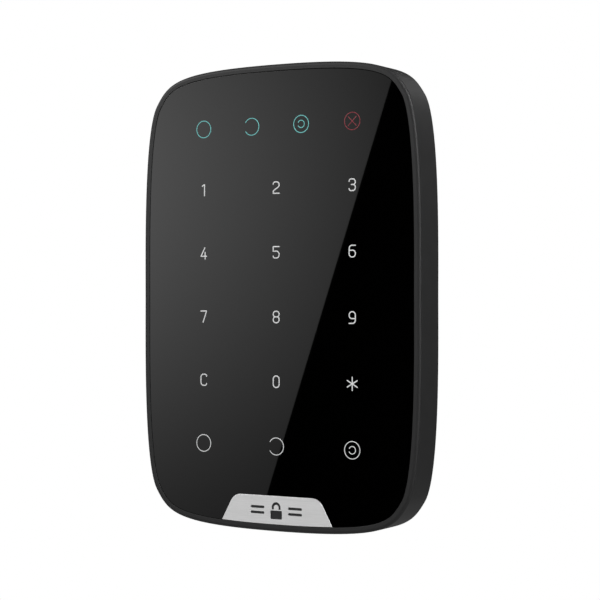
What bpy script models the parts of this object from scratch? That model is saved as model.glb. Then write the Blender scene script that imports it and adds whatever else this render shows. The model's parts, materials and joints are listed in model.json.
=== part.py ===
"""Alarm keypad panel: a slim wireless touch keypad that slides onto a wall bracket.

Every piece is modelled lying on its back, in the workbench frame of one empty:
X to the right, Y up the keypad, Z out of the wall. The empty then stands the
whole assembly against the wall, so the front faces -Y and the wall is y = 0.
"""
import math

import bmesh
import bpy
from mathutils import Matrix, Vector

MM = 0.001

# Housing outline: one quadrant is two cubic Bezier arcs that meet at the corner
HALF_WIDTH = 51.5 * MM
HALF_HEIGHT = 75.0 * MM
CORNER = Vector((46.84 * MM, 63.99 * MM))
CORNER_TANGENT = math.radians(180.0 - 57.63)
SIDE_HANDLES = (15.0 * MM, 9.94 * MM)
TOP_HANDLES = (8.96 * MM, 39.26 * MM)
ARC_STEPS = 6

# Heights above the wall, from the wall out
BRACKET_T = (0.0, 2.2 * MM)
LABEL_T = (0.28 * MM, 0.40 * MM)
BUMP_OUTER = 0.50 * MM
BUMP_INNER = 1.15 * MM
COVER_T = (2.6 * MM, 4.0 * MM)
RIM_T = 0.50 * MM
BOARD_T = (11.8 * MM, 12.45 * MM)
LEDGE_T = (11.4 * MM, 12.5 * MM)
PANEL_T = (12.7 * MM, 13.88 * MM)
BADGE_T = (12.75 * MM, 13.96 * MM)
FRONT_T = 14.0 * MM

# Insets from the housing outline
EDGE_FILLET = 1.0 * MM
BEZEL = 1.8 * MM
WALL = 1.9 * MM
COVER_INSET = 2.2 * MM
PANEL_INSET = 2.36 * MM
LEDGE_INSET = 4.5 * MM
BOARD_INSET = 4.9 * MM

# Clearances
GAP = 0.3 * MM
REST_GAP = 0.1 * MM

# Keys: three columns by five rows, and a row of four status marks
COLUMN_PITCH = 27.76 * MM
ROW_PITCH = 20.76 * MM
TOP_ROW_Y = 35.35 * MM
ROWS = 5
STATUS_Y = 55.3 * MM
STATUS_PITCH = 18.5 * MM
LED_SIZE = 1.6 * MM
LED_HEIGHT = 0.55 * MM
LIGHT_HOLE_R = 0.55 * MM

# Badge: a trapezoid with cut upper corners, its foot against the bezel
BADGE_FOOT = (20.8 * MM, -72.6 * MM)
BADGE_SHOULDER = (17.2 * MM, -65.9 * MM)
BADGE_TOP = (13.3 * MM, -63.6 * MM)
BADGE_GAP = 0.2 * MM

# Batteries: four AAA cells side by side, low in the housing
CELL_R = 5.15 * MM
CELL_LENGTH = 44.5 * MM
CELL_PITCH = 10.8 * MM
CELL_T = 6.4 * MM
CELL_Y = -36.0 * MM
NUB_R = 1.9 * MM
NUB_LENGTH = 0.9 * MM
CELLS = 4
HOLDER_INNER = (21.7 * MM, 24.2 * MM)
HOLDER_WALL = 1.2 * MM
HOLDER_T = (1.45 * MM, 11.4 * MM)
CONTACT_THICK = 0.3 * MM
CONTACT_HALF = 4.2 * MM
CONTACT_HIGH = (3.0 * MM, 9.8 * MM)
CONE_COIL = (2.9 * MM, 1.5 * MM)
CONE_WIRE = 0.22 * MM
CONE_TURNS = 2.0

# Wall bracket and its hooks
BRACKET_HALF = (38.0 * MM, 66.5 * MM)
BRACKET_CORNER = 13.0 * MM
LIFT = 5.0 * MM
HOOK_X = 31.0 * MM
HOOK_YS = (42.0 * MM, -46.0 * MM)
HOOK_HALF = 3.0 * MM
HOOK_STEM = 1.8 * MM
HOOK_REACH = 3.2 * MM
HOOK_LIP_T = (4.25 * MM, 5.3 * MM)
WALL_HOLE_R = 2.25 * MM
WALL_HOLES = ((31.0 * MM, 58.0 * MM), (31.0 * MM, -58.0 * MM))

# Case screws in the four corners
SCREW_INSET = 4.4 * MM
BOSS_R = 2.6 * MM
SCREW_R = 0.9 * MM
SCREW_HEAD = (1.8 * MM, 1.2 * MM)
SCREW_TIP_T = 9.5 * MM

# Lock screw, up through the bottom wall into the bracket's lug
LOCK_T = 6.8 * MM
LOCK_R = 1.5 * MM
LOCK_HEAD = (2.5 * MM, 1.4 * MM)
LOCK_TIP_Y = -62.9 * MM
RECESS = (2.8 * MM, 2.0 * MM)
LOCK_BOSS = (4.0 * MM, 2.1 * MM)
WASHER_THICK = 0.3 * MM
LUG_Y = (-65.6 * MM, -63.6 * MM)
LUG_HALF = 4.0 * MM
LUG_TOP_T = 9.5 * MM

# Tamper contact and power button
TAMPER_XY = (-14.0 * MM, 4.0 * MM)
TAMPER_RATIO = 0.16
POWER_XY = (-14.0 * MM, 45.0 * MM)
SWITCH_HALF = 3.0 * MM

ROUND_SIDES = 20
SMALL_SIDES = 12


def clear_scene():
    """Remove every object of the startup scene."""
    for old in list(bpy.data.objects):
        bpy.data.objects.remove(old, do_unlink=True)


clear_scene()

PIECES = bpy.data.collections.new("alarm_keypad_panel")
CUTTERS = bpy.data.collections.new("cutters")
for made in (PIECES, CUTTERS):
    bpy.context.scene.collection.children.link(made)

STAND = bpy.data.objects.new("wall_stand", None)
STAND.rotation_euler = (math.radians(90.0), 0.0, 0.0)
PIECES.objects.link(STAND)


def finish(name, color, roughness, metallic=0.0):
    """Principled material of one plain colour."""
    material = bpy.data.materials.new(name)
    material.use_nodes = True
    shader = material.node_tree.nodes["Principled BSDF"]
    shader.inputs["Base Color"].default_value = (*color, 1.0)
    shader.inputs["Roughness"].default_value = roughness
    shader.inputs["Metallic"].default_value = metallic
    material.diffuse_color = (*color, 1.0)
    return material


# ---------------------------------------------------------------- outlines

def bezier(start, grip, pull, end, steps):
    """Points and directions along a cubic Bezier arc, without its last point."""
    points = []
    for step in range(steps):
        t = step / steps
        s = 1.0 - t
        place = start * s ** 3 + grip * 3 * s * s * t + pull * 3 * s * t * t + end * t ** 3
        course = (grip - start) * s * s + (pull - grip) * 2 * s * t + (end - pull) * t * t
        points.append((place, course.normalized()))
    return points


def quadrant(steps):
    """First quadrant of the outline, from the side round the corner to the top."""
    side = Vector((HALF_WIDTH, 0.0))
    top = Vector((0.0, HALF_HEIGHT))
    course = Vector((math.cos(CORNER_TANGENT), math.sin(CORNER_TANGENT)))
    lower = bezier(side, side + Vector((0.0, SIDE_HANDLES[0])),
                   CORNER - course * SIDE_HANDLES[1], CORNER, steps)
    upper = bezier(CORNER, CORNER + course * TOP_HANDLES[0],
                   top + Vector((TOP_HANDLES[1], 0.0)), top, steps)
    return lower + upper


def outline(inset, steps=ARC_STEPS):
    """Closed outline at an inset from the housing's outer edge, anticlockwise."""
    first = []
    for place, course in quadrant(steps):
        outward = Vector((course.y, -course.x))
        first.append(place - outward * inset)
    top = Vector((0.0, HALF_HEIGHT - inset))
    half = first + [top] + [Vector((-p.x, p.y)) for p in reversed(first[1:])]
    side = Vector((-(HALF_WIDTH - inset), 0.0))
    lower = [Vector((-p.x, -p.y)) for p in half[1:]]
    return half + [side] + lower


def rounded_box(half_x, half_y, radius, steps=4):
    """Closed outline of a rectangle with round corners, anticlockwise."""
    points = []
    for turn, (sx, sy) in enumerate(((1, 1), (-1, 1), (-1, -1), (1, -1))):
        for step in range(steps + 1):
            angle = math.radians(90.0) * (turn + step / steps)
            points.append(Vector((sx * (half_x - radius) + radius * math.cos(angle),
                                  sy * (half_y - radius) + radius * math.sin(angle))))
    return points


def badge_outline(grow):
    """Half of the badge mirrored: foot, slanted side, cut shoulder, flat top."""
    right = [Vector((BADGE_FOOT[0] + grow, BADGE_FOOT[1])),
             Vector((BADGE_SHOULDER[0] + grow, BADGE_SHOULDER[1])),
             Vector((BADGE_TOP[0] + grow * 0.5, BADGE_TOP[1] + grow))]
    return right + [Vector((-p.x, p.y)) for p in reversed(right)]


# ---------------------------------------------------------------- shapes

def place(name, mesh, collection=PIECES):
    """Object for a mesh, standing on the shared empty."""
    piece = bpy.data.objects.new(name, mesh)
    piece.parent = STAND
    collection.objects.link(piece)
    if collection is CUTTERS:
        piece.hide_render = True
        piece.display_type = "WIRE"
    return piece


def slab(name, points, span, collection=PIECES, rounding=0.0):
    """Flat plate of any outline between two heights, its edges rounded if asked."""
    curve = bpy.data.curves.new(name + "_outline", "CURVE")
    curve.dimensions = "2D"
    curve.fill_mode = "BOTH"
    curve.extrude = (span[1] - span[0]) / 2 - rounding
    curve.bevel_depth = rounding
    curve.bevel_resolution = 1
    spline = curve.splines.new("POLY")
    spline.points.add(len(points) - 1)
    for knot, point in zip(spline.points, points):
        knot.co = (point.x, point.y, 0.0, 1.0)
    spline.use_cyclic_u = True
    guide = bpy.data.objects.new(name + "_guide", curve)
    bpy.context.scene.collection.objects.link(guide)
    graph = bpy.context.evaluated_depsgraph_get()
    mesh = bpy.data.meshes.new_from_object(guide.evaluated_get(graph))
    bpy.data.objects.remove(guide)
    shape = bmesh.new()
    shape.from_mesh(mesh)
    bmesh.ops.translate(shape, vec=(0.0, 0.0, (span[0] + span[1]) / 2), verts=shape.verts)
    bmesh.ops.remove_doubles(shape, verts=shape.verts, dist=0.00001)
    bmesh.ops.recalc_face_normals(shape, faces=shape.faces)
    shape.to_mesh(mesh)
    shape.free()
    return place(name, mesh, collection)


def block(name, low, high, collection=PIECES):
    """Box between two corners."""
    shape = bmesh.new()
    bmesh.ops.create_cube(shape, size=1.0)
    size = [high[i] - low[i] for i in range(3)]
    middle = [(high[i] + low[i]) / 2 for i in range(3)]
    bmesh.ops.scale(shape, vec=size, verts=shape.verts)
    bmesh.ops.translate(shape, vec=middle, verts=shape.verts)
    mesh = bpy.data.meshes.new(name)
    shape.to_mesh(mesh)
    shape.free()
    return place(name, mesh, collection)


def chip(name, xy, half, span, collection=PIECES):
    """Box centred on a point, between two heights."""
    low = (xy[0] - half[0], xy[1] - half[1], span[0])
    high = (xy[0] + half[0], xy[1] + half[1], span[1])
    return block(name, low, high, collection)


def rod(name, start, end, radius, sides=SMALL_SIDES, collection=CUTTERS):
    """Plain cylinder between two points."""
    axis = Vector(end) - Vector(start)
    turn = Vector((0.0, 0.0, 1.0)).rotation_difference(axis).to_matrix().to_4x4()
    shape = bmesh.new()
    bmesh.ops.create_cone(shape, cap_ends=True, segments=sides, radius1=radius,
                          radius2=radius, depth=axis.length,
                          matrix=Matrix.Translation((Vector(start) + Vector(end)) / 2) @ turn)
    mesh = bpy.data.meshes.new(name)
    shape.to_mesh(mesh)
    shape.free()
    return place(name, mesh, collection)


def turned(name, profile, origin, turn=(0.0, 0.0, 0.0), steps=ROUND_SIDES):
    """Solid of revolution: (radius, height) pairs from the top down, about the object's Z."""
    shape = bmesh.new()
    knots = [shape.verts.new((radius, 0.0, height)) for radius, height in profile]
    for upper, lower in zip(knots, knots[1:]):
        shape.edges.new((upper, lower))
    mesh = bpy.data.meshes.new(name)
    shape.to_mesh(mesh)
    shape.free()
    piece = place(name, mesh)
    piece.location = origin
    piece.rotation_euler = turn
    screw = piece.modifiers.new("turn", "SCREW")
    screw.axis = "Z"
    screw.steps = steps
    screw.render_steps = steps
    screw.use_merge_vertices = True
    screw.merge_threshold = 0.00001
    screw.use_smooth_shade = False
    return piece


def coil(name, knots, wire):
    """Round wire along a list of points, as a closed mesh."""
    curve = bpy.data.curves.new(name + "_path", "CURVE")
    curve.dimensions = "3D"
    curve.bevel_depth = wire
    curve.bevel_resolution = 1
    curve.use_fill_caps = True
    spline = curve.splines.new("POLY")
    spline.points.add(len(knots) - 1)
    for knot, point in zip(spline.points, knots):
        knot.co = (*point, 1.0)
    guide = bpy.data.objects.new(name + "_guide", curve)
    bpy.context.scene.collection.objects.link(guide)
    graph = bpy.context.evaluated_depsgraph_get()
    mesh = bpy.data.meshes.new_from_object(guide.evaluated_get(graph))
    bpy.data.objects.remove(guide)
    shape = bmesh.new()
    shape.from_mesh(mesh)
    bmesh.ops.remove_doubles(shape, verts=shape.verts, dist=0.000005)
    bmesh.ops.recalc_face_normals(shape, faces=shape.faces)
    shape.to_mesh(mesh)
    shape.free()
    return mesh


def combine(piece, other, operation="DIFFERENCE"):
    """Exact Boolean of a piece with a cutter or an added lump."""
    step = piece.modifiers.new(other.name, "BOOLEAN")
    step.operation = operation
    step.solver = "EXACT"
    step.object = other
    return piece


def dress(piece, material):
    """Give a piece its material."""
    piece.data.materials.clear()
    piece.data.materials.append(material)
    return piece


# ---------------------------------------------------------------- places

def key_places():
    """Name and centre of each key, by rows from the top."""
    names = ["1", "2", "3", "4", "5", "6", "7", "8", "9", "c", "0", "star",
             "arm", "disarm", "night"]
    places = []
    for index, label in enumerate(names):
        row, column = divmod(index, 3)
        places.append((label, ((column - 1) * COLUMN_PITCH, TOP_ROW_Y - row * ROW_PITCH)))
    return places


def status_places():
    """Name and centre of each status mark, from the left."""
    return [("armed", (-1.5 * STATUS_PITCH, STATUS_Y)),
            ("disarmed", (-0.5 * STATUS_PITCH, STATUS_Y)),
            ("night_mode", (0.5 * STATUS_PITCH, STATUS_Y)),
            ("fault", (1.5 * STATUS_PITCH, STATUS_Y))]


def case_screw_places():
    """The four corner screws, by name."""
    outward = Vector((math.sin(CORNER_TANGENT), -math.cos(CORNER_TANGENT)))
    spot = CORNER - outward * SCREW_INSET
    return [("top_right", (spot.x, spot.y)), ("top_left", (-spot.x, spot.y)),
            ("bottom_left", (-spot.x, -spot.y)), ("bottom_right", (spot.x, -spot.y))]


# ---------------------------------------------------------------- housing

def front_frame():
    """Housing ring: rounded outside, thin bezel, ledge for the panel, screw bosses."""
    piece = slab("front_frame", outline(EDGE_FILLET), (RIM_T, FRONT_T), rounding=EDGE_FILLET)
    deep = FRONT_T + 2 * MM
    combine(piece, slab("panel_pocket", outline(BEZEL), (LEDGE_T[1], deep), CUTTERS))
    combine(piece, slab("ledge_opening", outline(LEDGE_INSET), (LEDGE_T[0] - MM, deep), CUTTERS))
    combine(piece, slab("rear_pocket", outline(WALL), (-MM, LEDGE_T[0]), CUTTERS))
    for label, spot in case_screw_places():
        boss = rod("boss_" + label, (*spot, COVER_T[1] + GAP), (*spot, LEDGE_T[0] + 0.2 * MM), BOSS_R)
        combine(piece, boss, "UNION")
        hole = rod("boss_hole_" + label, (*spot, 0.0), (*spot, SCREW_TIP_T + 0.5 * MM),
                   SCREW_R + 0.2 * MM)
        combine(piece, hole)
    inner = -HALF_HEIGHT + WALL
    boss = rod("lock_boss", (0, inner - 0.5 * MM, LOCK_T), (0, inner + LOCK_BOSS[1], LOCK_T),
               LOCK_BOSS[0], ROUND_SIDES)
    combine(piece, boss, "UNION")
    recess = rod("lock_recess", (0, -HALF_HEIGHT - MM, LOCK_T),
                 (0, -HALF_HEIGHT + RECESS[1], LOCK_T), RECESS[0], ROUND_SIDES)
    combine(piece, recess)
    hole = rod("lock_hole", (0, -HALF_HEIGHT, LOCK_T), (0, inner + LOCK_BOSS[1] + MM, LOCK_T),
               LOCK_R + 0.25 * MM)
    return combine(piece, hole)


def rear_cover():
    """Rear moulding: plate in the housing's back, bump over the cells, slots for the hooks."""
    piece = slab("rear_cover", outline(COVER_INSET), COVER_T)
    inner = [HOLDER_INNER[i] + HOLDER_WALL + GAP for i in range(2)]
    thick = BUMP_INNER - BUMP_OUTER
    outer = [size + thick for size in inner]
    bump = slab("bump", [p + Vector((0, CELL_Y)) for p in rounded_box(*outer, 1.5 * MM, 3)],
                (BUMP_OUTER, COVER_T[1] - REST_GAP), CUTTERS)
    combine(piece, bump, "UNION")
    bay = slab("battery_bay", [p + Vector((0, CELL_Y)) for p in rounded_box(*inner, 1.0 * MM, 3)],
               (BUMP_INNER, COVER_T[1] + MM), CUTTERS)
    combine(piece, bay)
    for side in (-1, 1):
        for index, hook_y in enumerate(HOOK_YS):
            slot = block("hook_slot_%d_%d" % (side + 1, index),
                         (side * HOOK_X - HOOK_HALF - GAP, hook_y - LIFT - GAP, COVER_T[0] - MM),
                         (side * HOOK_X + HOOK_HALF + GAP, hook_y + HOOK_STEM + GAP, COVER_T[1] + MM),
                         CUTTERS)
            combine(piece, slot)
    for label, spot in case_screw_places():
        combine(piece, rod("cover_hole_" + label, (*spot, 0), (*spot, 6 * MM), SCREW_R + GAP))
    notch = block("lug_notch", (-LUG_HALF - 0.4 * MM, -HALF_HEIGHT, COVER_T[0] - MM),
                  (LUG_HALF + 0.4 * MM, LUG_Y[1] + GAP, COVER_T[1] + MM), CUTTERS)
    combine(piece, notch)
    combine(piece, rod("tamper_hole", (*TAMPER_XY, 0), (*TAMPER_XY, 6 * MM), 1.8 * MM))
    return combine(piece, rod("power_hole", (*POWER_XY, 0), (*POWER_XY, 6 * MM), 2.9 * MM))


def touch_panel():
    """Glossy front panel on the ledge, notched for the badge."""
    piece = slab("touch_panel", outline(PANEL_INSET), PANEL_T)
    notch = slab("badge_notch", badge_outline(BADGE_GAP), (PANEL_T[0] - MM, FRONT_T + MM), CUTTERS)
    foot = block("badge_notch_foot",
                 (-BADGE_FOOT[0] - BADGE_GAP, -HALF_HEIGHT, PANEL_T[0] - MM),
                 (BADGE_FOOT[0] + BADGE_GAP, BADGE_FOOT[1] + 0.1 * MM, FRONT_T + MM), CUTTERS)
    combine(piece, notch)
    return combine(piece, foot)


def badge_plate():
    """Metal plate at the foot of the panel."""
    piece = slab("badge_plate", badge_outline(0.0), BADGE_T)
    guard = slab("badge_guard", outline(BEZEL + GAP), (BADGE_T[0] - MM, FRONT_T + MM), CUTTERS)
    return combine(piece, guard, "INTERSECT")


def mounting_bracket():
    """Wall plate with four hooks, a window for the battery bump and the lock screw's lug."""
    plate = rounded_box(*BRACKET_HALF, BRACKET_CORNER)
    piece = slab("mounting_bracket", plate, BRACKET_T)
    bump_x = HOLDER_INNER[0] + HOLDER_WALL + GAP + BUMP_INNER - BUMP_OUTER + 0.5 * MM
    bump_y = HOLDER_INNER[1] + HOLDER_WALL + GAP + BUMP_INNER - BUMP_OUTER + 0.5 * MM
    window = block("bump_window", (-bump_x, CELL_Y - bump_y, -MM),
                   (bump_x, CELL_Y + bump_y + LIFT, BRACKET_T[1] + MM), CUTTERS)
    combine(piece, window)
    for side in (-1, 1):
        for index, hook_y in enumerate(HOOK_YS):
            tag = "%d_%d" % (side + 1, index)
            x = side * HOOK_X
            stem = block("hook_stem_" + tag, (x - HOOK_HALF, hook_y, BRACKET_T[1] - MM),
                         (x + HOOK_HALF, hook_y + HOOK_STEM, HOOK_LIP_T[1]), CUTTERS)
            lip = block("hook_lip_" + tag, (x - HOOK_HALF, hook_y + 0.5 * HOOK_STEM, HOOK_LIP_T[0]),
                        (x + HOOK_HALF, hook_y + HOOK_STEM + HOOK_REACH, HOOK_LIP_T[1]), CUTTERS)
            combine(stem, lip, "UNION")
            combine(piece, stem, "UNION")
        for index, (hole_x, hole_y) in enumerate(WALL_HOLES):
            hole = rod("wall_hole_%d_%d" % (side + 1, index), (side * hole_x, hole_y, -MM),
                       (side * hole_x, hole_y, 4 * MM), WALL_HOLE_R)
            combine(piece, hole)
    lug = block("lug", (-LUG_HALF, LUG_Y[0], BRACKET_T[1] - MM), (LUG_HALF, LUG_Y[1], LUG_TOP_T),
                CUTTERS)
    combine(piece, lug, "UNION")
    combine(piece, rod("lug_hole", (0, LUG_Y[0] - MM, LOCK_T), (0, LUG_Y[1] + MM, LOCK_T),
                       LOCK_R + 0.25 * MM))
    return combine(piece, tamper_ramp())


def tamper_ramp():
    """Wedge cut into the bracket, down which the tamper plunger runs as the keypad lifts."""
    start = TAMPER_XY[1] - 1.6 * MM
    run = LIFT + 4.0 * MM
    ramp = block("tamper_ramp", (TAMPER_XY[0] - 2 * MM, start, BRACKET_T[1]),
                 (TAMPER_XY[0] + 2 * MM, start + run, BRACKET_T[1] + MM), CUTTERS)
    shape = bmesh.new()
    shape.from_mesh(ramp.data)
    for corner in shape.verts:
        if corner.co.z < BRACKET_T[1] + 0.5 * MM:
            corner.co.z -= TAMPER_RATIO * (corner.co.y - start)
    shape.to_mesh(ramp.data)
    shape.free()
    return ramp


# ---------------------------------------------------------------- electronics

def main_board():
    """Circuit board behind the panel, with a light hole at each LED."""
    piece = slab("main_board", outline(BOARD_INSET), BOARD_T)
    for label, spot in key_places() + status_places():
        combine(piece, rod("light_" + label, (*spot, 10 * MM), (*spot, 14 * MM), LIGHT_HOLE_R, 6))
    return piece


def leds(white, body):
    """Reverse-mounted LEDs on the back of the board, one behind each legend."""
    span = (BOARD_T[0] - REST_GAP - LED_HEIGHT, BOARD_T[0] - REST_GAP)
    half = (LED_SIZE / 2, LED_SIZE / 2)
    for label, spot in key_places():
        dress(chip("led_key_" + label, spot, half, span), white)
    for label, spot in status_places():
        dress(chip("led_" + label, spot, half, span), body)


def radio_shield():
    """Folded metal can over the radio, open towards the board."""
    top = BOARD_T[0] - REST_GAP
    piece = chip("radio_shield", (14 * MM, 25 * MM), (8 * MM, 7 * MM), (top - 1.8 * MM, top))
    hollow = chip("shield_hollow", (14 * MM, 25 * MM), (7.7 * MM, 6.7 * MM),
                  (top - 1.5 * MM, top + MM), CUTTERS)
    return combine(piece, hollow)


def antenna():
    """Bent strip antenna along the top of the board."""
    top = BOARD_T[0] - REST_GAP
    piece = block("antenna", (4 * MM, 62 * MM, top - 3.2 * MM), (34 * MM, 65 * MM, top - 2.8 * MM))
    foot = block("antenna_foot", (4 * MM, 62 * MM, top - 3.0 * MM), (4.4 * MM, 65 * MM, top), CUTTERS)
    return combine(piece, foot, "UNION")


def buzzer():
    """Round sounder with its sound hole to the rear."""
    top = BOARD_T[0] - REST_GAP
    profile = [(0, top), (6 * MM, top), (6 * MM, 8.2 * MM), (5.6 * MM, 7.8 * MM),
               (1.1 * MM, 7.8 * MM), (1.1 * MM, 9.2 * MM), (0, 9.2 * MM)]
    return turned("buzzer", profile, (-14 * MM, 25 * MM, 0))


def capacitor(name, xy):
    """Upright can capacitor."""
    top = BOARD_T[0] - REST_GAP
    profile = [(0, top), (2.6 * MM, top), (2.6 * MM, 10.9 * MM), (2.3 * MM, 10.6 * MM),
               (2.6 * MM, 10.3 * MM), (2.6 * MM, 6.9 * MM), (2.4 * MM, 6.7 * MM), (0, 6.7 * MM)]
    return turned(name, profile, (*xy, 0), steps=SMALL_SIDES)


def tamper_switch():
    """Switch body with the bore that the plunger's stem slides in."""
    piece = chip("tamper_switch", TAMPER_XY, (SWITCH_HALF, SWITCH_HALF),
                 (8.2 * MM, BOARD_T[0] - REST_GAP))
    bore = rod("tamper_bore", (*TAMPER_XY, 7 * MM), (*TAMPER_XY, 10.6 * MM), 1.3 * MM)
    return combine(piece, bore)


def tamper_plunger():
    """Stepped pin: tip on the bracket, collar behind the cover, stem in the switch."""
    profile = [(0, 9.6 * MM), (1.0 * MM, 9.6 * MM), (1.0 * MM, 5.6 * MM), (2.4 * MM, 5.6 * MM),
               (2.4 * MM, 5.0 * MM), (1.5 * MM, 5.0 * MM), (1.5 * MM, 2.75 * MM),
               (1.2 * MM, 2.45 * MM), (0, 2.45 * MM)]
    return turned("tamper_plunger", profile, (*TAMPER_XY, 0), steps=SMALL_SIDES)


def tamper_spring():
    """Compression spring between the plunger's collar and the switch."""
    turns = 3.5
    points_per_turn = 12
    low, high = 5.9 * MM, 7.9 * MM
    count = int(turns * points_per_turn)
    knots = []
    for step in range(count + 1):
        angle = 2 * math.pi * step / points_per_turn
        knots.append((TAMPER_XY[0] + 1.9 * MM * math.cos(angle),
                      TAMPER_XY[1] + 1.9 * MM * math.sin(angle),
                      low + (high - low) * step / count))
    return place("tamper_spring", coil("tamper_spring", knots, 0.17 * MM))


def power_switch():
    """Tactile switch on the board, behind the power button."""
    profile = [(0, BOARD_T[0] - REST_GAP), (3 * MM, BOARD_T[0] - REST_GAP), (3 * MM, 8.7 * MM),
               (0.9 * MM, 8.7 * MM), (0.9 * MM, 8.2 * MM), (0, 8.2 * MM)]
    return turned("power_switch", profile, (*POWER_XY, 0), steps=SMALL_SIDES)


def power_button():
    """Button in the rear cover, kept in by its flange."""
    profile = [(0, 7.4 * MM), (1.2 * MM, 7.4 * MM), (1.2 * MM, 5.0 * MM), (3.7 * MM, 5.0 * MM),
               (3.7 * MM, 4.35 * MM), (2.6 * MM, 4.35 * MM), (2.6 * MM, 2.65 * MM),
               (2.45 * MM, 2.5 * MM), (0, 2.5 * MM)]
    return turned("power_button", profile, (*POWER_XY, 0), steps=SMALL_SIDES)


# ---------------------------------------------------------------- batteries

def cell_x(index):
    """Centre line of one cell."""
    return (index - (CELLS - 1) / 2) * CELL_PITCH


def battery_cell(index):
    """AAA cell; neighbours lie head to tail. The first has its nub at the top."""
    half = CELL_LENGTH / 2
    profile = [(0, half), (NUB_R, half), (NUB_R, half - NUB_LENGTH), (CELL_R - 0.5 * MM, half - NUB_LENGTH),
               (CELL_R, half - NUB_LENGTH - 0.5 * MM), (CELL_R, -half + 0.3 * MM),
               (CELL_R - 0.3 * MM, -half), (0, -half)]
    turn = math.radians(-90.0 if index % 2 == 0 else 90.0)
    name = "battery_cell_%d" % (index + 1)
    return turned(name, profile, (cell_x(index), CELL_Y, CELL_T), (turn, 0.0, 0.0))


def battery_holder():
    """Moulded frame round the four cells."""
    outer = [HOLDER_INNER[i] + HOLDER_WALL for i in range(2)]
    piece = chip("battery_holder", (0, CELL_Y), outer, HOLDER_T)
    hollow = chip("holder_hollow", (0, CELL_Y), HOLDER_INNER, (0, HOLDER_T[1] + MM), CUTTERS)
    return combine(piece, hollow)


def contact_plate(name, x_span, end):
    """Flat contact against the holder's end wall; end is 1 at the top, -1 at the bottom."""
    outer = CELL_Y + end * (HOLDER_INNER[1] - GAP)
    inner = outer - end * CONTACT_THICK
    low = (x_span[0], min(outer, inner), CONTACT_HIGH[0])
    high = (x_span[1], max(outer, inner), CONTACT_HIGH[1])
    return block(name, low, high)


def add_cone_spring(piece, index, end):
    """Conical coil on a contact, pressing on the flat end of a cell."""
    points_per_turn = 10
    count = int(CONE_TURNS * points_per_turn)
    root = CELL_Y + end * (HOLDER_INNER[1] - GAP - 0.5 * CONTACT_THICK)
    tip = CELL_Y + end * (CELL_LENGTH / 2 + GAP + CONE_WIRE)
    knots = []
    for step in range(count + 1):
        share = step / count
        angle = 2 * math.pi * step / points_per_turn
        radius = CONE_COIL[0] + (CONE_COIL[1] - CONE_COIL[0]) * share
        knots.append((cell_x(index) + radius * math.cos(angle), root + (tip - root) * share,
                      CELL_T + radius * math.sin(angle)))
    spring = place(piece.name + "_coil", coil(piece.name, knots, CONE_WIRE), CUTTERS)
    return combine(piece, spring, "UNION")


def battery_contacts(plated):
    """Two end contacts and three links that put the cells in series."""
    def span(first, last):
        return cell_x(first) - CONTACT_HALF, cell_x(last) + CONTACT_HALF
    dress(contact_plate("battery_contact_plus", span(0, 0), 1), plated)
    for name, cells, sprung, end in (("battery_link_1", (0, 1), 0, -1),
                                     ("battery_link_2", (1, 2), 1, 1),
                                     ("battery_link_3", (2, 3), 2, -1),
                                     ("battery_contact_minus", (3, 3), 3, 1)):
        plate = contact_plate(name, span(*cells), end)
        dress(add_cone_spring(plate, sprung, end), plated)


# ---------------------------------------------------------------- fasteners

def case_screw(label, spot):
    """Pan-head screw through the rear cover into a boss."""
    head_r, head_t = SCREW_HEAD
    seat = COVER_T[0] - REST_GAP
    profile = [(0, SCREW_TIP_T), (SCREW_R * 0.5, SCREW_TIP_T), (SCREW_R, SCREW_TIP_T - MM),
               (SCREW_R, seat), (head_r, seat), (head_r, seat - head_t + 0.4 * MM),
               (head_r - 0.4 * MM, seat - head_t), (0, seat - head_t)]
    return turned("case_screw_" + label, profile, (*spot, 0), steps=SMALL_SIDES)


def lock_screw():
    """Screw up through the bottom wall; its origin is on its own axis."""
    seat = -HALF_HEIGHT + RECESS[1] - 0.2 * MM - WASHER_THICK - REST_GAP
    head_r, head_t = LOCK_HEAD
    profile = [(0, LOCK_TIP_Y), (LOCK_R * 0.6, LOCK_TIP_Y), (LOCK_R, LOCK_TIP_Y - 0.8 * MM),
               (LOCK_R, seat), (head_r, seat), (head_r, seat - head_t + 0.3 * MM),
               (head_r - 0.3 * MM, seat - head_t), (0, seat - head_t)]
    return turned("lock_screw", profile, (0, 0, LOCK_T), (math.radians(-90.0), 0, 0))


def lock_washer():
    """Captive washer under the lock screw's head."""
    high = -HALF_HEIGHT + RECESS[1] - 0.2 * MM
    low = high - WASHER_THICK
    inner = LOCK_R + 0.2 * MM
    outer = LOCK_HEAD[0]
    profile = [(inner, high), (outer, high), (outer, low), (inner, low), (inner, high)]
    return turned("lock_washer", profile, (0, 0, LOCK_T), (math.radians(-90.0), 0, 0))


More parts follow.
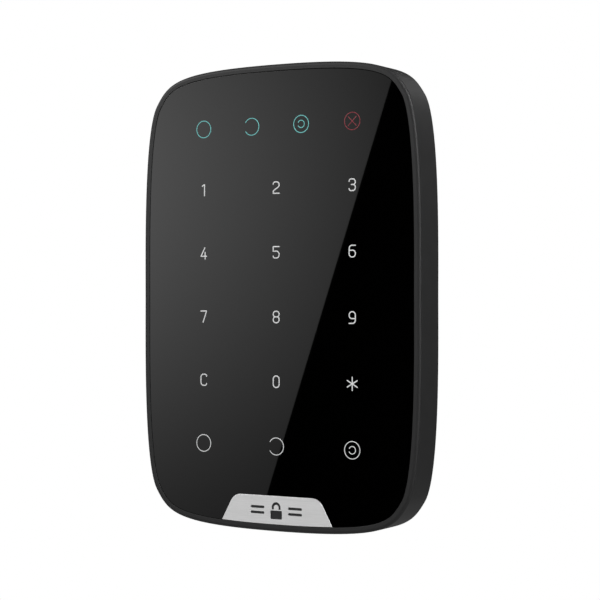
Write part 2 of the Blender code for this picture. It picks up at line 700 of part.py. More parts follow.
def build():
    """Make and dress every piece."""
    plastic = finish("dark_grey_plastic", (0.035, 0.036, 0.039), 0.55)
    gloss = finish("gloss_black_panel", (0.004, 0.004, 0.005), 0.08)
    brushed = finish("brushed_metal", (0.62, 0.62, 0.63), 0.32, 1.0)
    fibre = finish("circuit_board", (0.02, 0.12, 0.06), 0.5)
    white = finish("led_white", (0.85, 0.86, 0.8), 0.35)
    amber = finish("led_status", (0.8, 0.78, 0.7), 0.35)
    black = finish("black_moulding", (0.015, 0.015, 0.016), 0.5)
    steel = finish("zinc_steel", (0.55, 0.55, 0.56), 0.35, 1.0)
    plated = finish("nickel_contact", (0.66, 0.63, 0.57), 0.28, 1.0)
    sleeve = finish("cell_sleeve", (0.05, 0.09, 0.2), 0.3)
    paper = finish("label_stock", (0.78, 0.78, 0.76), 0.6)
    nylon = finish("nylon", (0.8, 0.8, 0.77), 0.5)

    dress(mounting_bracket(), plastic)
    dress(rear_cover(), plastic)
    dress(front_frame(), plastic)
    dress(touch_panel(), gloss)
    dress(badge_plate(), brushed)
    dress(main_board(), fibre)
    leds(white, amber)
    top = BOARD_T[0] - REST_GAP
    dress(chip("mcu_chip", (14 * MM, 4 * MM), (3.5 * MM, 3.5 * MM), (top - 0.9 * MM, top)), black)
    dress(chip("crystal", (6.5 * MM, 4 * MM), (1.25 * MM, 1.6 * MM), (top - 0.7 * MM, top)), steel)
    dress(chip("battery_connector", (14 * MM, -5 * MM), (3.5 * MM, 2 * MM), (top - 3.5 * MM, top)), nylon)
    dress(radio_shield(), steel)
    dress(antenna(), plated)
    dress(buzzer(), black)
    dress(capacitor("capacitor_1", (14 * MM, 45 * MM)), steel)
    dress(capacitor("capacitor_2", (20.5 * MM, 45 * MM)), steel)
    dress(tamper_switch(), black)
    dress(tamper_plunger(), nylon)
    dress(tamper_spring(), steel)
    dress(power_switch(), black)
    dress(power_button(), plastic)
    dress(battery_holder(), black)
    for index in range(CELLS):
        dress(battery_cell(index), sleeve)
    battery_contacts(plated)
    dress(chip("rating_label", (0, CELL_Y), (19 * MM, 14 * MM), LABEL_T), paper)
    for label, spot in case_screw_places():
        dress(case_screw(label, spot), steel)
    dress(lock_screw(), steel)
    dress(lock_washer(), nylon)


build()
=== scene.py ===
"""Looks of a slim wireless alarm keypad, built round its fixed mechanical frame.

Every visible piece is drawn lying on its back on a bench: X to the right, Y up the
keypad and Z out of the wall. stand_up() then turns the finished mesh against the
wall, so the touch panel faces -Y and every object stays at the origin.
"""

import json
import logging
import math
from dataclasses import dataclass, field
from enum import Enum
from typing import Any, Callable, Dict, List, Optional, Sequence, Tuple, Union

import bmesh
import bpy
from mathutils import Matrix, Vector


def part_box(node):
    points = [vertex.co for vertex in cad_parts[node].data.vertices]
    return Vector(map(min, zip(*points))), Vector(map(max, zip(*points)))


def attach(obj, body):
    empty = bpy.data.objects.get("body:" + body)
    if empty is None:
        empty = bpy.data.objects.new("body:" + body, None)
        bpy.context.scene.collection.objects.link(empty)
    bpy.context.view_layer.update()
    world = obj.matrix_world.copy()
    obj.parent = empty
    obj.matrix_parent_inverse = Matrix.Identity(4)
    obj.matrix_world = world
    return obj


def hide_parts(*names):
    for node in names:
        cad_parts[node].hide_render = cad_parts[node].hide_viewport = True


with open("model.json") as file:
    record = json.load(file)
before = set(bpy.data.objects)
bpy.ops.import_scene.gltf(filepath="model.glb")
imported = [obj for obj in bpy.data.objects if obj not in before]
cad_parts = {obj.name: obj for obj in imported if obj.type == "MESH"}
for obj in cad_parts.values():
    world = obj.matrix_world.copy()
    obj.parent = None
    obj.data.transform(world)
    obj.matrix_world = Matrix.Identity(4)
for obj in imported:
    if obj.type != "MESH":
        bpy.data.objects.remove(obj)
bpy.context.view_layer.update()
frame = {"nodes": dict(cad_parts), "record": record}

LOG = logging.getLogger("alarm_keypad")
MM = 0.001
KEYPAD_BODY = "keypad"
BRACKET_BODY = "bracket"

SIDES = 48                              # facets of a round piece
HOOK_X = 31.0 * MM                      # hooks and wall holes stand in two columns
HOOK_FEET = (42.0 * MM, -46.0 * MM)
WALL_HOLE_Y = 58.0 * MM
BRACKET_TOP = 2.2 * MM                  # heights above the wall
COVER_LOW = 2.6 * MM
LUG_Y = -64.6 * MM
CASE_SCREWS = tuple("case_screw_" + corner
                    for corner in ("top_right", "top_left", "bottom_left", "bottom_right"))
LUG_AXIS = 6.8 * MM
LOCK_SHANK = 1.75 * MM                  # radius of the holes for the lock screw's shank
RAMP_LENGTH = 9.0 * MM
RAMP_LEAD = 1.6 * MM                    # the ramp starts this far below the plunger's axis
RAMP_SLOPE = 0.16

Loop = List[Vector]
Pair = Tuple[float, float]
Point = Tuple[float, float, float]
Color = Point
Piece = bpy.types.Object
Scalar = Union[float, int, "Term"]


# -------- node graphs

def math_method(operation: str, flipped: bool = False) -> Callable[["Term", Scalar], "Term"]:
    """Operator that adds one Math node.

    Args:
        operation: The Math node's operation.
        flipped: Whether the other value stands on the left.

    Returns:
        The operator, as a method of Term.
    """
    def method(self: "Term", other: Scalar) -> "Term":
        """This and another value in one Math node."""
        pair = (other, self) if flipped else (self, other)
        return self.graph.node("ShaderNodeMath", {"operation": operation}, dict(enumerate(pair)))

    return method


class Term:
    """One output of a node, which can be used in plain arithmetic."""

    def __init__(self, graph: "Graph", socket: bpy.types.NodeSocket) -> None:
        """Hold the socket and the graph that it belongs to."""
        self.graph = graph
        self.socket = socket

    __add__ = math_method("ADD")
    __radd__ = math_method("ADD", flipped=True)
    __sub__ = math_method("SUBTRACT")
    __rsub__ = math_method("SUBTRACT", flipped=True)
    __mul__ = math_method("MULTIPLY")
    __rmul__ = math_method("MULTIPLY", flipped=True)
    at_most = math_method("MINIMUM")
    at_least = math_method("MAXIMUM")


class Graph:
    """A node tree with one method that adds any node."""

    def __init__(self, tree: bpy.types.NodeTree) -> None:
        """Wrap a node tree."""
        self.tree = tree

    def node(self, kind: str, settings: Optional[Dict[str, Any]] = None,
             inputs: Optional[Dict[Union[str, int], Any]] = None,
             output: Union[str, int] = 0) -> Term:
        """Add one node.

        Args:
            kind: The node's type.
            settings: Attributes set first; "stops" holds a ramp's (position, colour) pairs.
            inputs: Values or terms for sockets, by name or index.
            output: Which output is wanted.

        Returns:
            The wanted output as a term.
        """
        made = self.tree.nodes.new(kind)
        for name, setting in (settings or {}).items():
            if name == "stops":
                self._set_stops(made.color_ramp, setting)
            else:
                setattr(made, name, setting)
        for key, value in (inputs or {}).items():
            if isinstance(value, Term):
                self.tree.links.new(value.socket, made.inputs[key])
            else:
                made.inputs[key].default_value = value
        return Term(self, made.outputs[output])

    @staticmethod
    def _set_stops(ramp: bpy.types.ColorRamp, stops: Sequence[Tuple[float, Color]]) -> None:
        """Give a colour ramp its stops."""
        while len(ramp.elements) < len(stops):
            ramp.elements.new(1.0)
        for element, (position, color) in zip(ramp.elements, stops):
            element.position = position
            element.color = (*color, 1.0)


class GeometryTree(Graph):
    """A Geometry Nodes tree with named inputs, applied once to a host object."""

    def __init__(self, name: str, inputs: Dict[str, Tuple[str, Any]]) -> None:
        """Start a tree.

        Args:
            name: The tree's name.
            inputs: Socket type and default for each named input; a None has no default.
        """
        super().__init__(bpy.data.node_groups.new(name, "GeometryNodeTree"))
        face = self.tree.interface
        face.new_socket("Geometry", in_out="INPUT", socket_type="NodeSocketGeometry")
        face.new_socket("Geometry", in_out="OUTPUT", socket_type="NodeSocketGeometry")
        for label, (kind, default) in inputs.items():
            socket = face.new_socket(label, in_out="INPUT", socket_type=kind)
            if default is not None:
                socket.default_value = default
        self.entry = self.tree.nodes.new("NodeGroupInput")

    def given(self, label: str) -> Term:
        """One of the tree's named inputs."""
        return Term(self, self.entry.outputs[label])

    def end(self, geometry: Term) -> None:
        """Realize and give the material, then close the tree."""
        real = self.node("GeometryNodeRealizeInstances", None, {"Geometry": geometry})
        dressed = self.node("GeometryNodeSetMaterial", None,
                            {"Geometry": real, "Material": self.given("Material")})
        leave = self.tree.nodes.new("NodeGroupOutput")
        self.tree.links.new(dressed.socket, leave.inputs[0])

    def apply(self, host: Piece, values: Dict[str, Any], name: str) -> Piece:
        """Run the tree on a host and keep the result as a plain mesh.

        Args:
            host: A curve or mesh object, which is used up.
            values: Values for the named inputs.
            name: The name of the finished object.

        Returns:
            The finished mesh object.
        """
        step = host.modifiers.new("shape", "NODES")
        step.node_group = self.tree
        for item in self.tree.interface.items_tree:
            if item.in_out == "INPUT" and item.name in values:
                step[item.identifier] = values[item.name]
        return freeze(host, name)


# -------- mesh helpers

def link(item: Piece) -> Piece:
    """Put an object in the scene."""
    bpy.context.scene.collection.objects.link(item)
    return item


def freeze(host: Piece, name: str) -> Piece:
    """Replace an object by a plain mesh of what it evaluates to.

    Args:
        host: The object with its modifiers, which is removed.
        name: The name of the new object.

    Returns:
        A mesh object at the origin.
    """
    graph = bpy.context.evaluated_depsgraph_get()
    graph.update()
    mesh = bpy.data.meshes.new_from_object(host.evaluated_get(graph))
    mesh.name = name
    bpy.data.objects.remove(host, do_unlink=True)
    return link(bpy.data.objects.new(name, mesh))


def stand_up(piece: Piece) -> Piece:
    """Turn a piece drawn on the bench up against the wall, in its mesh."""
    piece.data.transform(Matrix.Rotation(math.radians(90.0), 4, "X"))
    return piece


def tidy_mesh(piece: Piece, distance: float = 1e-7) -> Piece:
    """Merge doubles and point every face outwards."""
    shape = bmesh.new()
    shape.from_mesh(piece.data)
    bmesh.ops.remove_doubles(shape, verts=shape.verts, dist=distance)
    bmesh.ops.recalc_face_normals(shape, faces=shape.faces)
    shape.to_mesh(piece.data)
    shape.free()
    return piece


def shade(piece: Piece, angle: float = 35.0) -> Piece:
    """Smooth shading, sharp past an angle, but flat on faces parallel to the wall."""
    limit = 0.99995
    piece.data.shade_smooth()
    piece.data.set_sharp_from_angle(angle=math.radians(angle))
    for face in piece.data.polygons:
        if abs(face.normal.y) > limit:
            face.use_smooth = False
    return piece


def inset_loop(points: Loop, inset: float) -> Loop:
    """Move a closed anticlockwise loop inwards by a small amount, mitred at each point."""
    count = len(points)
    moved = []
    for index, point in enumerate(points):
        before = (point - points[index - 1]).normalized()
        after = (points[(index + 1) % count] - point).normalized()
        inward = Vector((-before.y, before.x)) + Vector((-after.y, after.x))
        inward.normalize()
        spread = max(0.5, inward.dot(Vector((-after.y, after.x))))
        moved.append(point + inward * (inset / spread))
    return moved


def fillet_loop(corners: Sequence[Point], segments: int = 8,
                ease: float = 0.0) -> Loop:
    """Round the corners of a closed polygon.

    Args:
        corners: (x, y, radius) of each corner.
        segments: Steps in each round.
        ease: Extra point this far beyond each end of a round, which keeps the flats flat.

    Returns:
        The rounded loop, in the corners' own order.
    """
    count = len(corners)
    points: Loop = []
    for index, (x, y, radius) in enumerate(corners):
        here = Vector((x, y))
        to_last = (Vector(corners[index - 1][:2]) - here).normalized()
        to_next = (Vector(corners[(index + 1) % count][:2]) - here).normalized()
        if radius <= 0.0:
            points.append(here)
            continue
        half = math.acos(max(-1.0, min(1.0, to_last.dot(to_next)))) / 2.0
        reach = radius / math.tan(half)
        centre = here + (to_last + to_next).normalized() * (radius / math.sin(half))
        start = here + to_last * reach
        end = here + to_next * reach
        if ease:
            points.append(start + to_last * ease)
        first = start - centre
        sweep = first.angle_signed(end - centre)
        for step in range(segments + 1):
            turn = -sweep * step / segments
            points.append(centre + Matrix.Rotation(turn, 2) @ first)
        if ease:
            points.append(end + to_next * ease)
    return points


def box_corners(half_x: float, half_y: float, radius: float,
                middle: Pair = (0.0, 0.0)) -> List[Point]:
    """Corners of a rectangle, anticlockwise, for fillet_loop."""
    cx, cy = middle
    return [(cx + sx * half_x, cy + sy * half_y, radius)
            for sx, sy in ((1, -1), (1, 1), (-1, 1), (-1, -1))]


def pad(half_x: float, half_y: float, radius: float = 0.0,
        middle: Pair = (0.0, 0.0), segments: int = 4) -> Loop:
    """Rectangle with rounded corners."""
    return fillet_loop(box_corners(half_x, half_y, radius, middle), segments)


def mesh_object(name: str, shape: bmesh.types.BMesh) -> Piece:
    """Object of a shape, which is used up."""
    mesh = bpy.data.meshes.new(name)
    shape.to_mesh(mesh)
    shape.free()
    return link(bpy.data.objects.new(name, mesh))


def stack(name: str, loops: Sequence[Tuple[Loop, float]]) -> Piece:
    """Closed solid through loops of equal length at rising heights.

    Args:
        name: The object's name.
        loops: (loop, height) pairs from the bottom up.

    Returns:
        A mesh object, lying on the bench.
    """
    shape = bmesh.new()
    rings = [[shape.verts.new((p.x, p.y, height)) for p in loop] for loop, height in loops]
    shape.faces.new(list(reversed(rings[0])))
    shape.faces.new(rings[-1])
    for lower, upper in zip(rings, rings[1:]):
        count = len(lower)
        for index in range(count):
            after = (index + 1) % count
            shape.faces.new((lower[index], lower[after], upper[after], upper[index]))
    return mesh_object(name, shape)


def plate(name: str, loop: Loop, low: float, high: float, top_edge: float = 0.0,
          bottom_edge: float = 0.0, steps: int = 4) -> Piece:
    """Flat plate with rounded edges.

    Args:
        name: The object's name.
        loop: The outline, anticlockwise.
        low: Height of the underside.
        high: Height of the top.
        top_edge: Radius of the upper edge.
        bottom_edge: Radius of the lower edge.
        steps: Steps in each round.

    Returns:
        A mesh object, lying on the bench.
    """
    rings: List[Tuple[Loop, float]] = []
    for radius, base, sign in ((bottom_edge, low, 1.0), (top_edge, high, -1.0)):
        arc = []
        if radius > 0.0:
            for step in range(steps + 1):
                angle = math.radians(90.0) * step / steps
                inset = radius * (1.0 - math.sin(angle))
                rise = radius * (1.0 - math.cos(angle))
                arc.append((inset_loop(loop, inset), base + sign * rise))
        else:
            arc.append((loop, base))
        rings.extend(arc if sign > 0.0 else reversed(arc))
    return stack(name, rings)


def cylinder(name: str, start: Sequence[float], end: Sequence[float], radius: float,
             end_radius: Optional[float] = None) -> Piece:
    """Cylinder or cone between two points on the bench."""
    foot, head = Vector(start), Vector(end)
    axis = head - foot
    turn = Vector((0.0, 0.0, 1.0)).rotation_difference(axis).to_matrix().to_4x4()
    shape = bmesh.new()
    bmesh.ops.create_cone(shape, cap_ends=True, segments=SIDES, radius1=radius,
                          radius2=radius if end_radius is None else end_radius,
                          depth=axis.length, matrix=Matrix.Translation((foot + head) / 2) @ turn)
    return mesh_object(name, shape)


def turned(name: str, profile: Sequence[Pair]) -> Piece:
    """Solid of revolution about Z through (radius, height) points from the bottom up."""
    angles = [2 * math.pi * k / SIDES for k in range(SIDES)]
    return stack(name, [([Vector((radius * math.cos(a), radius * math.sin(a))) for a in angles],
                         height) for radius, height in profile])


def shape_with(piece: Piece, others: Sequence[Piece],
               operation: str = "DIFFERENCE") -> Piece:
    """Exact Boolean of a piece with several others, which are used up."""
    name = piece.name
    for other in others:
        step = piece.modifiers.new("shape", "BOOLEAN")
        step.operation = operation
        step.solver = "EXACT"
        step.object = other
    done = freeze(piece, name)
    for other in others:
        bpy.data.objects.remove(other, do_unlink=True)
    return done


def path_curve(name: str, lines: Sequence["Line"]) -> Piece:
    """Curve object of straight-sided paths; a point's radius is its corner's fillet."""
    curve = bpy.data.curves.new(name, "CURVE")
    curve.dimensions = "3D"
    for line in lines:
        spline = curve.splines.new("POLY")
        spline.points.add(len(line.points) - 1)
        for knot, point, radius in zip(spline.points, line.points, line.radii):
            knot.co = (point[0], point[1], 0.0, 1.0)
            knot.radius = radius
        spline.use_cyclic_u = line.closed
    return link(bpy.data.objects.new(name, curve))


@dataclass
class Line:
    """A path of straight runs with a fillet radius at each point."""

    points: List[Pair]
    radii: List[float]
    closed: bool = False

    def placed(self, spot: Pair, scale: float = 1.0) -> "Line":
        """The same path round another centre."""
        moved = [(spot[0] + x * scale, spot[1] + y * scale) for x, y in self.points]
        return Line(moved, [r * scale for r in self.radii], self.closed)


# -------- measures from the frame

def bench_box(node: str) -> Tuple[Vector, Vector]:
    """Lowest and highest corner of a frame node in bench axes."""
    low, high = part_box(node)
    return Vector((low.x, low.z, -high.y)), Vector((high.x, high.z, -low.y))


def bench_centre(node: str) -> Pair:
    """Centre of a frame node on the bench."""
    low, high = bench_box(node)
    return (low.x + high.x) / 2, (low.y + high.y) / 2


@dataclass(frozen=True)
class Outline:
    """Outline of the housing: one quadrant is two Bezier arcs that meet at the corner.

    Sizes are shares of the half width and half height, except the handles, in millimetres.
    """

    half_width: float
    half_height: float
    corner: Pair = (0.90951, 0.85320)
    corner_angle: float = 122.37
    side_handles: Pair = (15.0, 9.94)
    top_handles: Pair = (8.96, 39.26)

    def quadrant(self, inset: float, steps: int) -> Loop:
        """Points from the side round the corner, without the top point."""
        side = Vector((self.half_width, 0.0))
        top = Vector((0.0, self.half_height))
        corner = Vector((self.half_width * self.corner[0], self.half_height * self.corner[1]))
        angle = math.radians(self.corner_angle)
        course = Vector((math.cos(angle), math.sin(angle)))
        arcs = ((side, side + Vector((0.0, self.side_handles[0] * MM)),
                 corner - course * self.side_handles[1] * MM, corner),
                (corner, corner + course * self.top_handles[0] * MM,
                 top + Vector((self.top_handles[1] * MM, 0.0)), top))
        points = []
        for a, b, c, d in arcs:
            for step in range(steps):
                t = step / steps
                s = 1.0 - t
                place = a * s ** 3 + b * 3 * s * s * t + c * 3 * s * t * t + d * t ** 3
                way = (b - a) * s * s + (c - b) * 2 * s * t + (d - c) * t * t
                way.normalize()
                points.append(place - Vector((way.y, -way.x)) * inset)
        return points

    def loop(self, inset: float = 0.0, steps: int = 28) -> Loop:
        """Whole outline at an inset, anticlockwise from the right-hand side."""
        first = self.quadrant(inset, steps)
        half = first + [Vector((0.0, self.half_height - inset))]
        half += [Vector((-p.x, p.y)) for p in reversed(first[1:])]
        half.append(Vector((inset - self.half_width, 0.0)))
        return half + [Vector((p.x, -p.y)) for p in reversed(half[1:-1])]


# -------- finishes

class Pattern(Enum):
    """How a finish varies over its surface."""

    GRAIN = "fine grain, or faint smears where it is coarse"
    BRUSHED = "parallel scratches along X"
    SOLDER_MASK = "coating over copper tracks"


@dataclass(frozen=True)
class Finish:
    """One surface finish, built as a node-based material.

    color is the base colour; shade is how much darker or lighter the pattern makes it;
    spread is how far the pattern moves the roughness; grain is the pattern's size and
    relief its height, in metres.
    """

    name: str
    color: Color
    roughness: float
    metallic: float = 0.0
    pattern: Pattern = Pattern.GRAIN
    grain: float = 0.25 * MM
    relief: float = 0.0
    shade: float = 0.08
    spread: float = 0.05
    coat: float = 0.0
    glow: float = 0.0
    specular: float = 0.5

    def build(self) -> bpy.types.Material:
        """Make the material."""
        material = bpy.data.materials.new(self.name)
        material.use_nodes = True
        graph = Graph(material.node_tree)
        shader = material.node_tree.nodes["Principled BSDF"]
        spot = graph.node("ShaderNodeTexCoord", output="Object")
        fine, broad = self._patterns(graph, spot)
        mix = fine * 0.6 + broad * 0.4
        dark = tuple(c * (1.0 - self.shade) for c in self.color)
        light = tuple(min(1.0, c * (1.0 + self.shade)) for c in self.color)
        color = graph.node("ShaderNodeValToRGB", {"stops": [(0.3, dark), (0.7, light)]}, {0: mix})
        rough = (self.roughness - self.spread) + mix * (2.0 * self.spread)
        links = material.node_tree.links
        links.new(color.socket, shader.inputs["Base Color"])
        links.new(rough.socket, shader.inputs["Roughness"])
        if self.relief > 0.0:
            bump = graph.node("ShaderNodeBump", None, {"Distance": self.relief, "Height": fine,
                                                       "Strength": 1.0})
            links.new(bump.socket, shader.inputs["Normal"])
        if self.glow > 0.0:
            links.new(color.socket, shader.inputs["Emission Color"])
            shader.inputs["Emission Strength"].default_value = self.glow
        for socket, value in (("Metallic", self.metallic), ("Coat Weight", self.coat),
                              ("Specular IOR Level", self.specular)):
            shader.inputs[socket].default_value = value
        material.diffuse_color = (*self.color, 1.0)
        return material

    def _patterns(self, graph: Graph, spot: Term) -> Tuple[Term, Term]:
        """Fine and broad variation, each from 0 to 1, for this finish's pattern."""
        along = 0.03 if self.pattern is Pattern.BRUSHED else 1.0
        laid = graph.node("ShaderNodeMapping", None, {"Vector": spot, "Scale": (along, 1.0, 1.0)})
        fine = graph.node("ShaderNodeTexNoise", None,
                          {"Vector": laid, "Scale": 1.0 / self.grain, "Detail": 2.0})
        if self.pattern is Pattern.SOLDER_MASK:
            tracks = graph.node("ShaderNodeTexBrick", {"offset": 0.5},
                                {"Vector": laid, "Color1": (0.2, 0.2, 0.2, 1.0),
                                 "Color2": (0.5, 0.5, 0.5, 1.0), "Mortar": (1.0, 1.0, 1.0, 1.0),
                                 "Scale": 90.0, "Mortar Size": 0.03}, "Fac")
            return fine, tracks
        broad = graph.node("ShaderNodeTexNoise", None,
                           {"Vector": laid, "Scale": 0.05 / self.grain, "Detail": 3.0})
        return fine, broad


class Workshop:
    """Keeps one material for each finish, so that pieces of one finish share it."""

    def __init__(self) -> None:
        """Start with no materials."""
        self.made: Dict[str, bpy.types.Material] = {}

    def material(self, finish: Finish) -> bpy.types.Material:
        """The material of a finish, made when it is first asked for."""
        if finish.name not in self.made:
            self.made[finish.name] = finish.build()
        return self.made[finish.name]

    def dress(self, piece: Piece, finish: Finish) -> Piece:
        """Give a piece one finish all over."""
        piece.data.materials.clear()
        piece.data.materials.append(self.material(finish))
        return piece


HOUSING = Finish("housing_plastic", (0.0175, 0.0175, 0.0178), 0.50, grain=0.22 * MM,
                 relief=0.006 * MM, shade=0.12, spread=0.06, specular=0.4)
GLOSS = Finish("panel_gloss", (0.0002, 0.0002, 0.0002), 0.012, grain=4.0 * MM, shade=0.2,
               spread=0.004)
BADGE = Finish("badge_brushed", (0.98, 0.98, 0.98), 0.44, metallic=0.55, pattern=Pattern.BRUSHED,
               grain=0.16 * MM, relief=0.004 * MM, shade=0.10, spread=0.07)
BACKING = Finish("badge_backing", (0.02, 0.02, 0.021), 0.35, grain=0.3 * MM)
INK_WHITE = Finish("legend_white", (0.50, 0.505, 0.505), 0.5, grain=0.5 * MM, shade=0.06, glow=0.45)
INK_TEAL = Finish("legend_teal", (0.10, 0.34, 0.33), 0.5, grain=0.5 * MM, shade=0.10, glow=0.60)
INK_RED = Finish("legend_red", (0.16, 0.018, 0.026), 0.5, grain=0.5 * MM, shade=0.10, glow=0.50)
CIRCUIT = Finish("circuit_board", (0.012, 0.10, 0.045), 0.42, pattern=Pattern.SOLDER_MASK,
                 grain=0.4 * MM, shade=0.3)
LENS = Finish("led_lens", (0.80, 0.80, 0.72), 0.25, grain=0.4 * MM)
MOULDING = Finish("black_moulding", (0.014, 0.014, 0.015), 0.5, grain=0.2 * MM, relief=0.004 * MM)
ZINC = Finish("zinc_steel", (0.56, 0.56, 0.58), 0.34, metallic=1.0, grain=0.3 * MM,
              shade=0.10, spread=0.08)
NICKEL = Finish("nickel_contact", (0.68, 0.65, 0.59), 0.26, metallic=1.0, grain=0.4 * MM,
                shade=0.06)
SLEEVE = Finish("cell_sleeve", (0.04, 0.08, 0.19), 0.28, grain=1.0 * MM, shade=0.05, coat=0.3)
LABEL = Finish("label_stock", (0.42, 0.42, 0.41), 0.55, grain=0.15 * MM, relief=0.002 * MM,
               shade=0.05)
LABEL_INK = Finish("label_ink", (0.05, 0.05, 0.055), 0.5, grain=0.3 * MM)
NYLON = Finish("nylon", (0.74, 0.73, 0.68), 0.45, grain=0.3 * MM, shade=0.04)

SLOT_FINISH = {
    "housing_plastic": HOUSING, "panel_gloss": GLOSS, "brushed_metal": BADGE,
    "circuit_board": CIRCUIT, "led_white": LENS, "led_teal": LENS, "led_red": LENS,
    "black_moulding": MOULDING, "zinc_steel": ZINC, "nickel_contact": NICKEL,
    "cell_sleeve": SLEEVE, "label_stock": LABEL, "nylon": NYLON,
}


# -------- shared geometry trees

def sweep_tree() -> GeometryTree:
    """Tree that sweeps a closed profile round the host's outline."""
    tree = GeometryTree("profile_sweep", {"Profile": ("NodeSocketObject", None),
                                          "Material": ("NodeSocketMaterial", None)})
    profile = tree.node("GeometryNodeObjectInfo", None, {"Object": tree.given("Profile")},
                        "Geometry")
    path = tree.node("GeometryNodeSetCurveNormal", {"mode": "Z_UP"},
                     {"Curve": tree.given("Geometry")})
    swept = tree.node("GeometryNodeCurveToMesh", None, {"Curve": path, "Profile Curve": profile})
    tree.end(swept)
    return tree


def stroke_tree() -> GeometryTree:
    """Tree that turns paths into flat ribbons with rounded corners and ends."""
    tree = GeometryTree("ribbon_strokes", {"Width": ("NodeSocketFloat", 0.5 * MM),
                                           "Height": ("NodeSocketFloat", 0.02 * MM),
                                           "Material": ("NodeSocketMaterial", None)})
    radius = tree.node("GeometryNodeInputRadius")
    rounded = tree.node("GeometryNodeFilletCurve", {"mode": "POLY"},
                        {"Curve": tree.given("Geometry"), "Count": 8, "Radius": radius,
                         "Limit Radius": True})
    path = tree.node("GeometryNodeSetCurveNormal", {"mode": "Z_UP"}, {"Curve": rounded})
    section = tree.node("GeometryNodeCurvePrimitiveQuadrilateral", None,
                        {"Width": tree.given("Width"), "Height": tree.given("Height")})
    ribbon = tree.node("GeometryNodeCurveToMesh", None,
                       {"Curve": path, "Profile Curve": section, "Fill Caps": True})
    ends = tree.node("GeometryNodeCurveEndpointSelection")
    half = tree.given("Width") * 0.5
    disc = tree.node("GeometryNodeMeshCylinder", None,
                     {"Vertices": 20, "Radius": half, "Depth": tree.given("Height")})
    tips = tree.node("GeometryNodeInstanceOnPoints", None,
                     {"Points": rounded, "Selection": ends, "Instance": disc})
    solid_tips = tree.node("GeometryNodeRealizeInstances", None, {"Geometry": tips})
    merged = tree.node("GeometryNodeMeshBoolean", {"operation": "UNION", "solver": "EXACT"},
                       {"Mesh 2": ribbon, "Self Intersection": True})
    tree.tree.links.new(solid_tips.socket, merged.socket.node.inputs["Mesh 2"])
    tree.end(merged)
    return tree


def scatter_tree() -> GeometryTree:
    """Tree that puts a copy of one shape at every point of the host."""
    tree = GeometryTree("repeated_shape", {"Shape": ("NodeSocketObject", None),
                                           "Material": ("NodeSocketMaterial", None)})
    shape = tree.node("GeometryNodeObjectInfo", None, {"Object": tree.given("Shape")}, "Geometry")
    copies = tree.node("GeometryNodeInstanceOnPoints", None,
                       {"Points": tree.given("Geometry"), "Instance": shape})
    tree.end(copies)
    return tree


@dataclass
class Trees:
    """The geometry trees that the sub-assemblies share."""

    sweep: GeometryTree = field(default_factory=sweep_tree)
    strokes: GeometryTree = field(default_factory=stroke_tree)
    scatter: GeometryTree = field(default_factory=scatter_tree)

    def repeat(self, name: str, shape: Piece,
               spots: Sequence[Point],
               material: Optional[bpy.types.Material] = None) -> Piece:
        """Copies of a shape at spots, as one mesh; the shape is used up."""
        mesh = bpy.data.meshes.new(name)
        mesh.from_pydata(spots, [], [])
        host = link(bpy.data.objects.new(name + "_spots", mesh))
        done = self.scatter.apply(host, {"Shape": shape, "Material": material}, name)
        bpy.data.objects.remove(shape, do_unlink=True)
        return done


@dataclass
class Assembly:
    """What every sub-assembly needs: finishes, trees and the outline."""

    shop: Workshop
    trees: Trees
    outline: Outline

    def hand_over(self, piece: Piece, finish: Finish, body: str, slot: str,
                  *nodes: str, rounded: bool = True) -> None:
        """Clean a piece, dress it, stand it up and report it.

        Args:
            piece: The piece, lying on the bench.
            finish: Its finish.
            body: The body that it rides on.
            slot: The record's material slot. Not used.
            nodes: The frame nodes that it stands for.
            rounded: Whether its curved faces are shaded smooth.
        """
        self.shop.dress(tidy_mesh(piece), finish)
        stand_up(piece)
        if rounded:
            shade(piece)
        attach(piece, body)
        if nodes:
            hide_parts(*nodes)
        LOG.info("%s: %d faces on %s", piece.name, len(piece.data.polygons), body)


# -------- housing

